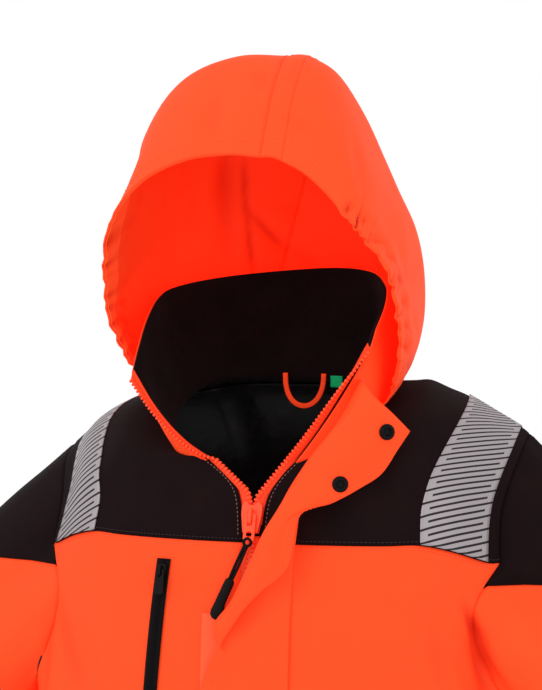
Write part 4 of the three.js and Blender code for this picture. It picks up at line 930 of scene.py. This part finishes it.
# Stitch places that keep a distance (in mm) from one side of a sheet
def besideEdge(sheet, side, distance, out=0.2, first=0.0, last=1.0):
    p = sheet.p
    rows, cols = p.shape[:2]
    count = cols if side in ("start", "end") else rows
    places = []
    for k in range(int(first * (count - 1)), int(last * (count - 1)) + 1):
        if side in ("start", "end"):
            line = p[:, k] if side == "start" else p[::-1, k]
        else:
            line = p[k] if side == "left" else p[k, ::-1]
        step = float(np.interp(distance, lengths(line), np.arange(len(line))))
        if side == "start":
            places.append((step, k))
        elif side == "end":
            places.append((rows - 1 - step, k))
        elif side == "left":
            places.append((k, step))
        else:
            places.append((k, cols - 1 - step))
    return lineOn(sheet, places, out)


def sew(name, lines, material, slotName):
    at, along, out = (np.concatenate([line[k] for line in lines]) for k in range(3))
    return dress(repeated(name, stitchTree, at, along, out, stitch, material), "garment", slotName)


# Body panels
seamDip = 1.0
allSeams = {"start": seamDip, "end": seamDip, "left": seamDip, "right": seamDip}
black, orange = "panel_black", "shell_orange"
panels = {
    "yoke_front_right": black, "yoke_front_left": black, "yoke_back": black,
    "front_right": orange, "front_left": orange, "back": orange,
    "sleeve_cap_right": black, "sleeve_cap_left": black, "sleeve_right": orange, "sleeve_left": orange,
}
panelFinish = {black: panelBlack, orange: shellOrange}
for name, slotName in panels.items():
    made = wallObject(name + "_cloth", shell[name], -shellThick, 0, [panelFinish[slotName], liningBlack],
                      allSeams, innerMaterial=True)
    dress(made, "garment", slotName, name)
    declare(made, shell[name])
print("body panels made")


def surfaceNear(x, z):
    best, at = None, None
    for name in ("front_left", "front_right", "yoke_front_left", "yoke_front_right"):
        s = shell[name]
        gap = (s.p[..., 0] - x) ** 2 + (s.p[..., 2] - z) ** 2
        k = np.unravel_index(np.argmin(gap), gap.shape)
        if best is None or gap[k] < best:
            best, at = gap[k], (s, k)
    s, (j, i) = at
    n, p = s.n[j, i], s.p[j, i]
    return p[1] - ((x - p[0]) * n[0] + (z - p[2]) * n[2]) / n[1]


def onFront(x, z, out):
    centre = zipCentre(z)
    seen = x if abs(x - centre) > zipHalfWidth + 0.5 else centre + zipHalfWidth + 0.5
    return np.array([x, surfaceNear(seen, z) - out, z])


# Collar: black fleece inside, orange outside
def collarPoint(t, v):
    low, middle, high = (collarLines[row].at(t) for row in ("base", "middle", "top"))
    return low * (1 - v) * (1 - 2 * v) + middle * 4 * v * (1 - v) + high * v * (2 * v - 1)


def onCollar(t, v, out):
    step = 0.01
    along = collarPoint(min(t + step, 1), v) - collarPoint(max(t - step, 0), v)
    up = collarPoint(t, min(v + step, 1)) - collarPoint(t, max(v - step, 0))
    n = np.cross(up, along)
    return collarPoint(t, v) + unit(n) * out


def collarAt(i):
    if i <= neckRows:
        return mix(0, neckSideRight, i / neckRows)
    if i >= neckRows + neckBackSteps:
        return mix(neckSideLeft, 1, (i - neckRows - neckBackSteps) / neckRows)
    return mix(neckSideRight, neckSideLeft, (i - neckRows) / neckBackSteps)


collar = refined(grid(collarRows, 2 * neckRows + neckBackSteps,
                      lambda i, j: collarPoint(collarAt(i), j / collarRows))).flipped()
collarCreases = [
    ((-86, -60, 30), (-70, 40, 30), 12, -2.6), ((-40, 56, 20), (-22, 62, 92), 10, 2.4),
    ((20, 58, 16), (10, 66, 90), 12, -2.4), ((56, 40, 20), (60, 44, 90), 9, 2.2),
    ((-100, -30, 60), (-84, 40, 66), 10, 2), ((-110, -70, 0), (-100, -30, 24), 9, -1.8),
]
crease([collar], collarCreases)
fleece = wallObject("collar_inner_cloth", collar, -fleeceThick, 0, [fleeceBlack],
                    {"end": 0.8}, {"start": -3, "left": 0.2, "right": 0.2})
dress(fleece, "garment", "fleece_black", "collar_inner")
declare(fleece, collar)
outerCollar = wallObject("collar_outer_cloth", collar, 0.45, 0.45 + shellThick, [shellOrange],
                         {"end": 0.8}, {"start": -1, "left": 0.6, "right": 0.6})
dress(outerCollar, "garment", orange, "collar_outer")
declare(outerCollar, collar)
print("collar made")

# Hood: two side panels, a centre strip and the facing in the brim
hoodStand, hoodNeckHeight = 4.1, 0.13


def hoodPanel(side):
    arches = [Curve([onCollar(neck, hoodNeckHeight, hoodStand)] + points)
              for neck, points in hoodArches[side]]
    rows = [Curve([arch.at(v / hoodRows) for arch in arches]) for v in range(hoodRows + 1)]
    return grid(hoodRows, hoodSteps, lambda i, j: rows[j].at(i / hoodSteps))


def hoodStrip(right, left):
    crown, nape = 1.5, 9

    def place(i, k):
        row, col = (hoodRows, k) if k <= hoodSteps else (hoodRows - (k - hoodSteps), hoodSteps)
        t = i / stripSteps
        down = clamp((k - hoodSteps) / hoodRows)
        return (mix(right[row][col], left[row][col], t)
                + np.array([0, nape * down, crown * (1 - down)]) * 4 * t * (1 - t))
    return grid(hoodSteps + hoodRows, stripSteps, place)


rightPanel, leftPanel = hoodPanel("right"), hoodPanel("left")
hood = {"right": refined(rightPanel).flipped(), "left": refined(leftPanel),
        "strip": refined(hoodStrip(rightPanel, leftPanel))}
crease(list(hood.values()), mainCreases + hoodCreases)


# Elastic gathers beside the brim, from and to parts of its length, with depth, pitch and reach in mm
hoodGathers = {
    "left": {"brimFirst": True, "from": 0.05, "to": 0.66, "deep": 3.0, "pitch": 7.5, "reach": 20},
    "right": {"brimFirst": False, "from": 0.06, "to": 0.58, "deep": 2.6, "pitch": 7.0, "reach": 20},
}


def gather(sheet, g):
    fade, sharp, level = 0.08, 0.6, 0.62
    p = sheet.p if g["brimFirst"] else sheet.p[:, ::-1]
    across, _ = arcs(p)
    edge = lengths(p[:, 0])
    rows = np.linspace(0, 1, p.shape[0])
    zone = np.clip((rows - g["from"]) / fade, 0, 1) * np.clip((g["to"] - rows) / fade, 0, 1)
    phase = edge / g["pitch"] * math.pi + 0.9 * np.sin(edge / 17.0) + 0.5 * np.sin(edge / 7.3 + 1)
    small = np.abs(np.sin(phase)) ** sharp - level
    large = np.abs(np.sin(0.47 * phase + 0.8)) ** sharp - level
    wave = (small[:, None] * np.exp(-(across / g["reach"]) ** 1.5)
            + 0.7 * large[:, None] * np.exp(-(across / (2 * g["reach"])) ** 2))
    depth = g["deep"] * zone[:, None] * wave
    return depth if g["brimFirst"] else depth[:, ::-1]


for side, settings in hoodGathers.items():
    s = hood[side]
    depth = gather(s, settings)
    s.fold = s.fold + depth / gatherFull
    s.p = s.p + s.n * depth[..., None]
addNormals(list(hood.values()))
hoodSeams = {"right": {"end": 0.3, "start": 0.8}, "left": {"end": 0.3, "start": 0.8},
             "strip": {"left": 0.3, "right": 0.3}}
hoodDraw = {"right": {"start": -3}, "left": {"start": -3}, "strip": {"end": -3}}
for side, node in (("right", "hood_right"), ("left", "hood_left"), ("strip", "hood_center")):
    made = wallObject(node + "_cloth", hood[side], -shellThick, 0, [shellOrange],
                      hoodSeams[side], hoodDraw[side])
    dress(made, "garment", orange, node)
    declare(made, hood[side])
facingSteps, facingThick = 2, 1.1
depthSteps = facingSteps * fine
right, left, strip = hood["right"], hood["left"], hood["strip"]
facingPoints, facingNormals, facingFolds = [], [], []
for w in range(depthSteps + 1):
    for store, name in ((facingPoints, "p"), (facingNormals, "n"), (facingFolds, "fold")):
        r, l, c = getattr(right, name), getattr(left, name), getattr(strip, name)
        store.append(np.concatenate([r[fine:, r.shape[1] - 1 - w], c[w][1:-1], l[::-1][:-fine, w]]))
facing = Sheet(np.array(facingPoints))
facing.n, facing.fold = np.array(facingNormals), np.array(facingFolds)
facingOut = -shellThick - seamGap
made = wallObject("hood_facing_cloth", facing, facingOut - facingThick, facingOut, [litFacingOrange],
                  {"start": 0.3}, {"start": 0.6, "left": 0.2, "right": 0.2})
dress(made, "garment", orange, "hood_facing")
declare(made, facing)
brimSeam, panelSeam, stripSeam = 15, 3.2, 2.6
brimLines = [besideEdge(right, "right", brimSeam), besideEdge(left, "left", brimSeam),
             besideEdge(strip, "start", brimSeam)]
crownLines = [besideEdge(right, "end", panelSeam), besideEdge(left, "end", panelSeam),
              besideEdge(strip, "left", stripSeam), besideEdge(strip, "right", stripSeam)]
sew("hood_stitches", brimLines + crownLines, threadOrange, orange)
print("hood made")

# Storm flap, turned back above and closed below
flapThick, flapSeamX, flapStand = 1.8, 42, 1.5
flapSeam = lambda z: onFront(flapSeamX, z, flapStand)
flapRows = [
    (onCollar(0.955, 0.7, 3.4), (94, -112, 12), (102, -115, 3), (115, -110, -10), (128, -100, -26)),
    (onCollar(0.957, 0.46, 3.4), (86, -122, -9), (98, -123, -20), (110, -117, -30), (120, -108, -40)),
    (onCollar(0.96, 0.22, 3.4), (68, -127, -30), (80, -131, -40), (96, -125, -50), (109, -117, -59)),
    (onCollar(0.965, 0.05, 5), (47, -130, -56), (52, -138, -61), (74, -135, -66), (94, -126, -70)),
    (onFront(46, -76, flapStand + 2.2), (36, -138, -78), (38, -149, -80), (57, -148, -81), (74, -136, -81)),
    (onFront(43.5, -102, flapStand), (32, -143, -103), (22, -153, -104), (35, -158, -98), (50, -149, -91)),
    (flapSeam(-132), (26, -149, -134), (8, -154, -134), (21, -162, -131), (43, -158, -131)),
    (flapSeam(-160), (20, -153, -162), (-4, -157, -162), (3, -164, -159), (22, -163, -152)),
    (flapSeam(-190), (16, -158, -190), (-18, -161, -188), (-12, -167, -184), (3, -167, -174)),
]
flapClosedFrom, flapFreeX, flapClosedRows, flapSteps = -224, -35, 9, 8
flapGrid = [[Curve(row).at(t / flapSteps) for t in range(flapSteps + 1)] for row in flapRows]
for k in range(flapClosedRows + 1):
    z = mix(flapClosedFrom, hemHeight + 1, k / flapClosedRows)
    free = flapFreeX + 7 if k == 0 else flapFreeX
    flapGrid.append([onFront(mix(flapSeamX, free, t / flapSteps), z,
                             flapStand + 4 * math.sin(math.pi * min(t / flapSteps, 0.55)))
                     for t in range(flapSteps + 1)])
flap = refined(np.array(flapGrid))
flapCreases = [((46, -146, -80), (4, -156, -150), 7, 1.2), ((100, -118, -40), (72, -140, -70), 12, -1.4),
               ((30, -160, -260), (26, -158, -420), 16, -1.4),
               ((-20, -158, -300), (-16, -156, -520), 14, 1.4)]
crease([flap], flapCreases)
made = wallObject("storm_flap_cloth", flap, -flapThick / 2, flapThick / 2, [shellOrange],
                  {"start": 0.4, "right": 0.5, "left": 0.4})
dress(made, "garment", orange, "storm_flap")
declare(made, flap)
flapFace = flapThick / 2 + 0.15
flapLines = [besideEdge(flap, "right", 7, -flapFace, 0, 0.46), besideEdge(flap, "right", 7, flapFace, 0.5, 1),
             besideEdge(flap, "left", 5, flapFace, 0.5, 1)]
sew("flap_stitches", flapLines, threadOrange, orange)
print("storm flap made")


# Zips
def openTape(side, yoke, collarSheet):
    tuck, reach, under = -0.9, 9.4, 1.9
    yokeEnd, yokeNext = (-1, -2) if side == "right" else (0, 1)
    edges = []
    for j in range(int(0.45 * fine), fine + 1):
        p = yoke.p[j, yokeEnd]
        edges.append((p, p - yoke.p[j, yokeNext]))
    for j in range(collarSheet.p.shape[0]):
        p = collarSheet.p[j, yokeEnd]
        edges.append((p, p - collarSheet.p[j, yokeNext]))
    points = np.array([p for p, _ in edges])
    ways = unit(np.array([way for _, way in edges]))
    for _ in range(4):
        ways[1:-1] = (ways[:-2] + 2 * ways[1:-1] + ways[2:]) / 4
    ways = unit(ways)
    across = np.linspace(tuck, reach, 8)
    rows = np.array([[p + way * x for x in across] for p, way in zip(points, ways)])
    sheet = Sheet(rows if side == "right" else rows[:, ::-1])
    addNormals([sheet])
    sink = np.array([-under * (1 - smoothstep(x, 0.2, 2.2)) - 0.4 for x in across])
    sheet.p = sheet.p + sheet.n * (sink if side == "right" else sink[::-1])[None, :, None]
    addNormals([sheet])
    edge = sheet.p[:, -1] if side == "right" else sheet.p[:, 0]
    return sheet, edge, ways


tooth = {"pitch": 3.6, "long": 2.1, "wide": 4.6, "thick": 2.7, "seat": 1.4, "soften": 0.5}
closedTooth = {"long": 2.1, "wide": 4.2, "thick": 2.4, "half": 1.3, "clear": 0.9, "out": 0.4}


def makeTeeth(name, path, normals):
    seatsAt, ahead, out = evenly(path, normals, tooth["pitch"], 0)
    made = repeated(name, toothTree, seatsAt, ahead, out, tooth, teethOrange)
    bevel = made.modifiers.new("soften", "BEVEL")
    bevel.width, bevel.segments = tooth["soften"] * metre, 1
    graph = bpy.context.evaluated_depsgraph_get()
    solid = bpy.data.meshes.new_from_object(made.evaluated_get(graph))
    made.modifiers.clear()
    made.data = solid
    return made


for side in ("right", "left"):
    tape, edge, ways = openTape(side, shell["yoke_front_" + side], collar)
    made = wallObject("zip_tape_" + side + "_cloth", tape, -1.1, 0.1, [zipOrange])
    dress(made, "garment", "zip_orange", "zip_tape_" + side)
    normals = tape.n[:, -1] if side == "right" else tape.n[:, 0]
    teeth = makeTeeth("zip_teeth_" + side, edge - ways * tooth["seat"], normals)
    dress(teeth, "garment", "zip_orange")
    declare(made, tape)

innerEdge = shell["front_right"].p[:, 0]
upper = shell["yoke_front_right"].p[:, -1]
line = np.concatenate([upper[1:2], innerEdge])
wide = zipHalfWidth - 0.35
closedSheet = Sheet(np.array([[(zipCentre(p[2]) + x, p[1], p[2]) for x in np.linspace(wide, -wide, 5)]
                              for p in line]))
addNormals([closedSheet])
made = wallObject("zip_closed_cloth", closedSheet, -1.4, -0.2, [zipOrange], draw={"end": 3})
dress(made, "garment", "zip_orange", "zip_closed")
sides = []
for hand, clear in ((-1, closedTooth["clear"]), (1, closedTooth["clear"] + tooth["pitch"] / 2)):
    beside = hand * closedTooth["half"]
    path = np.array([[zipCentre(p[2]) + beside, p[1] - closedTooth["out"], p[2]] for p in line])
    sides.append(evenly(path, closedSheet.n[:, 2], tooth["pitch"], closedTooth["out"], clear))
at, ahead, out = (np.concatenate([part[k] for part in sides]) for k in range(3))
teeth = repeated("zip_teeth_closed", toothTree, at, ahead, out, closedTooth, teethOrange)
dress(teeth, "garment", "zip_orange")
declare(made, closedSheet)
print("zips made")


# Chest pocket zip
pocket = {"top": (-69, -133), "foot": (-82, -308), "half": 6, "out": 1.25}


def frontStrip(top, foot, half, out, rows):
    cols = 6
    return addNormals([Sheet(np.array([[onFront(mix(top[0], foot[0], t) + x, mix(top[1], foot[1], t), out)
                                        for x in np.linspace(half, -half, cols + 1)]
                                       for t in np.linspace(0, 1, rows + 1)]))])[0]


pocketSheet = frontStrip(pocket["top"], pocket["foot"], pocket["half"], pocket["out"], 60)
ridge = np.array([0, 0.35, 0.1, 0.75, 0.1, 0.35, 0])
pocketSheet.p = pocketSheet.p + pocketSheet.n * ridge[None, :, None]
addNormals([pocketSheet])
made = wallObject("pocket_zip_cloth", pocketSheet, -0.2, 0.6, [zipCoil])
dress(made, "garment", "zip_black", "pocket_zip")
declare(made, pocketSheet)

# Hook strip, label, loop
hook = {"top": (-21.5, -174), "foot": (-21.5, -238), "half": 11, "out": 1}
hookSheet = frontStrip(hook["top"], hook["foot"], hook["half"], hook["out"], 24)
made = wallObject("hook_strip_cloth", hookSheet, -0.6, 0.7, [hookOrange])
dress(made, "garment", "hook_orange", "hook_strip")
declare(made, hookSheet)
tag = {"from": 0.5435, "to": 0.5675, "top": 5, "foot": -5.2, "inside": 3.3, "thick": 0.5}
labelSheet = addNormals([Sheet(np.array([[[*onCollar(t, 0.05, -(fleeceThick + tag["inside"]))[:2], z]
                                          for t in np.linspace(tag["from"], tag["to"], 5)]
                                         for z in np.linspace(tag["top"], tag["foot"], 7)]))])[0]
made = wallObject("label_cloth", labelSheet, -tag["thick"] / 2, tag["thick"] / 2, [labelGreen])
dress(made, "garment", "label_green", "label")
declare(made, labelSheet)


def ribbonAlong(path, normals, half):
    side = unit(np.cross(unit(np.gradient(path, axis=0)), normals))
    return Sheet(np.array([[p + s * x for x in np.linspace(-half, half, 5)] for p, s in zip(path, side)]))


hanger = {"right": 0.459, "left": 0.53, "inside": 2, "low": -22, "lean": 3, "half": 2.1, "thick": 1.4,
          "steps": 60}


def hangerLoop(s):
    rightEnd, leftEnd = (onCollar(s[end], 0.02, -(fleeceThick + s["inside"])) for end in ("right", "left"))
    path = []
    for turn in np.linspace(0, math.pi, s["steps"]):
        along, down = (1 - math.cos(turn)) / 2, math.sin(turn)
        place = mix(rightEnd, leftEnd, along) + (0, -s["lean"] * down, 0)
        place[2] += (s["low"] - rightEnd[2]) * down ** 0.8
        path.append(place)
    sheet = ribbonAlong(np.array(path), np.tile([0.0, -1.0, 0.0], (s["steps"], 1)), s["half"])
    addNormals([sheet])
    return wallObject("hanger_loop_cloth", sheet, -s["thick"] / 2, s["thick"] / 2, [shellOrange])


made = hangerLoop(hanger)
dress(made, "garment", orange, "hanger_loop")

# Lining behind the open neck, with soft folds that stand in from the shell
liningCut = np.s_[6:-5, 8:-8]  # rows and columns of the back yoke that it covers
liningSheet = Sheet(shell["yoke_back"].p[liningCut].copy())
liningSheet.n = shell["yoke_back"].n[liningCut].copy()
liningFolds = [((-70, 60, -10), (-20, 96, -120), 10, -4), ((-40, 56, -4), (0, 100, -110), 8, 3.0),
               ((-10, 56, -4), (26, 100, -120), 9, -4), ((30, 52, -4), (50, 96, -120), 9, 3.0),
               ((60, 40, -4), (84, 90, -120), 10, -4), ((-90, 40, -20), (-60, 92, -120), 10, 3)]
liningDepth = np.minimum(creaseDepth(liningSheet.p, liningFolds)[0], 0)
liningSheet.p = liningSheet.p + liningSheet.n * liningDepth[..., None]
made = wallObject("lining_back_cloth", liningSheet, -shellThick - 2.1, -shellThick - 1.1, [liningBlack])
dress(made, "garment", "lining_black", "lining_back")
declare(made, liningSheet)

# Reflective tape over each shoulder
def tapeSheet(side):
    front, rear = shell["yoke_front_" + side], shell["yoke_back"]
    frontLast, backLast = front.p.shape[1] - 1, rear.p.shape[1] - 1
    out = np.arange(tapeColumns[0] * fine, tapeColumns[1] * fine + 1)
    if side == "right":
        frontCols, backCols = (frontLast - out)[::-1], (backLast - frontLast + out)[::-1]
    else:
        frontCols, backCols = out, frontLast - out
    rows = [(front, j, frontCols) for j in range(front.p.shape[0])]
    rows += [(rear, j, backCols) for j in range(rear.p.shape[0] - 2, -1, -1)]
    tape = Sheet(np.array([s.p[j][cols] for s, j, cols in rows]))
    tape.n = np.array([s.n[j][cols] for s, j, cols in rows])
    return tape


for side in ("right", "left"):
    tape = tapeSheet(side)
    made = wallObject("reflect_" + side + "_tape", tape, 0.35, 0.35 + tapeThick, [reflectiveSilver[side]],
                      draw={"start": 0.8, "end": 0.8}, cutWide=reflective["wide"] / metre)
    dress(made, "garment", "reflective_silver", "reflect_" + side)
    declare(made, tape)
print("trim made")

# Seams and hems sewn
seamInset, hemInset, zipInset = 3, 20, 3.4
seamLines = [besideEdge(shell[name], "start", seamInset) for name in ("front_right", "front_left", "back")]
hemLines = [besideEdge(shell[name], "end", hemInset)
            for name in ("front_right", "front_left", "back", "sleeve_right", "sleeve_left")]
sew("body_stitches", seamLines + hemLines, threadOrange, orange)
paleLines = [besideEdge(shell["yoke_front_" + side], side, zipInset, first=0.02, last=0.25)
             for side in ("right", "left")]
sew("zip_stitches", paleLines, threadPale, black)
blackLines = [besideEdge(shell["yoke_front_" + side], "start", seamInset) for side in ("right", "left")]
sew("yoke_stitches", blackLines, threadBlack, black)
print("seams sewn")

# Rigid CAD pieces keep their shape
for node, material in (("zip_slider", teethOrange), ("zip_tab", teethOrange), ("snap_upper", snapDark),
                       ("snap_lower", snapDark), ("pocket_slider", zipBlack), ("pocket_tab", zipBlack)):
    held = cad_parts[node]
    held.data.materials.clear()
    held.data.materials.append(material)


# Cord puller: a loop through the tab's eye and a moulded grip
def tube(path, radii, sides, flat=1.0, up=(0, -1, 0)):
    path = np.asarray(path, float)
    ahead = unit(np.gradient(path, axis=0))
    a = unit(np.cross(ahead, np.tile(up, (len(path), 1))))
    b = np.cross(a, ahead)
    turns = np.arange(sides) / sides * fullTurn
    rings = (path[:, None] + np.asarray(radii)[:, None, None]
             * (a[:, None] * np.cos(turns)[None, :, None] + flat * b[:, None] * np.sin(turns)[None, :, None]))
    points = rings.reshape(-1, 3)
    faces = []
    for j in range(len(path) - 1):
        for k in range(sides):
            n = (k + 1) % sides
            faces.append([j * sides + k, j * sides + n, (j + 1) * sides + n, (j + 1) * sides + k])
    faces.append(list(range(sides))[::-1])
    faces.append([(len(path) - 1) * sides + k for k in range(sides)])
    return points, faces


puller = {"start": (4.6, -144.48, -115.04), "way": (-26, -13.5, -63.5), "eye": 3.0, "ringRadius": 1.25,
          "cordRadius": 1.3, "gripFrom": 33, "gripTo": 68, "flat": 0.6,
          "gripAt": [0, 0.03, 0.12, 0.6, 0.7, 0.82, 0.93, 1],
          "gripHalf": [2.2, 3.6, 4.3, 4.5, 5.0, 5.6, 4.9, 2.0]}


def makePuller(s):
    start = np.array(s["start"])
    way = unit(np.array(s["way"], float))
    side = unit(np.cross(way, (0, 1, 0)))
    points, faces = [], []

    def more(path, radii, sides, flat=1.0, up=(0, -1, 0)):
        p, f = tube(path, radii, sides, flat, up)
        base = len(points)
        points.extend(p.tolist())
        faces.extend([[k + base for k in face] for face in f])
    turns = np.linspace(0, fullTurn, 25)
    ringAt = start + way * 0.6
    more([ringAt + (side * math.cos(a) + way * math.sin(a)) * s["eye"] for a in turns],
         [s["ringRadius"]] * len(turns), 8, up=np.cross(side, way))
    for hand in (-1, 1):
        run = np.linspace(0, 1, 16)
        path = [start + way * (s["eye"] + 0.5 + (s["gripFrom"] + 2 - s["eye"]) * t)
                + side * hand * (1.05 + 0.3 * math.sin(math.pi * t)) for t in run]
        more(path, [s["cordRadius"]] * len(path), 8)
    count = 40
    run = np.linspace(0, 1, count)
    half = np.interp(run, s["gripAt"], s["gripHalf"])
    ribs = np.where((np.arange(count) % 3 == 0) & (run > 0.1) & (run < 0.62), -0.35, 0)
    path = [start + way * mix(s["gripFrom"], s["gripTo"], t) + side * 0.9 * smoothstep(t, 0.55, 0.85)
            for t in run]
    more(path, half + ribs, 18, s["flat"])
    made = meshObject("zip_puller_grip", points, faces, [rubberBlack])
    return dress(made, "zip_pull", "puller_black", "zip_puller")


makePuller(puller)
print("puller made")


# Floor, sky and soft lights
def makeStudio(s):
    made = finish("paleFloor", s["floor"], 0.9)[0]
    corners = 64
    turns = np.arange(corners) / corners * fullTurn
    disc = np.stack([np.cos(turns) * s["reach"], np.sin(turns) * s["reach"],
                     np.full(corners, s["height"])], -1)
    floor = meshObject("floor", disc, [list(range(corners))], [made])
    sky = bpy.data.worlds.new("softSky")
    scene.world = sky
    sky.use_nodes = True
    ground = sky.node_tree.nodes["Background"]
    ground.inputs["Color"].default_value = (1, 1, 1, 1)
    ground.inputs["Strength"].default_value = s["sky"]
    for name, place, aim, size, power in s["lamps"]:
        data = bpy.data.lights.new(name, "AREA")
        data.shape, data.size, data.energy = "DISK", size, power
        lamp = bpy.data.objects.new(name, data)
        scene.collection.objects.link(lamp)
        lamp.location = place
        lamp.rotation_mode = "QUATERNION"
        lamp.rotation_quaternion = (Vector(aim) - Vector(place)).to_track_quat("-Z", "Y")


makeStudio({
    "floor": (0.8, 0.8, 0.8), "reach": 2300, "height": -900, "sky": 1.0,
    "lamps": [("keyLamp", (-1.5, -2.0, 1.5), (0, 0, 0), 1.2, 14),
              ("fillLamp", (1.8, -1.8, 0.5), (0, 0, 0), 1.4, 5)],
})
scene.view_settings.view_transform = "Standard"
scene.view_settings.look = "None"
print("studio made")
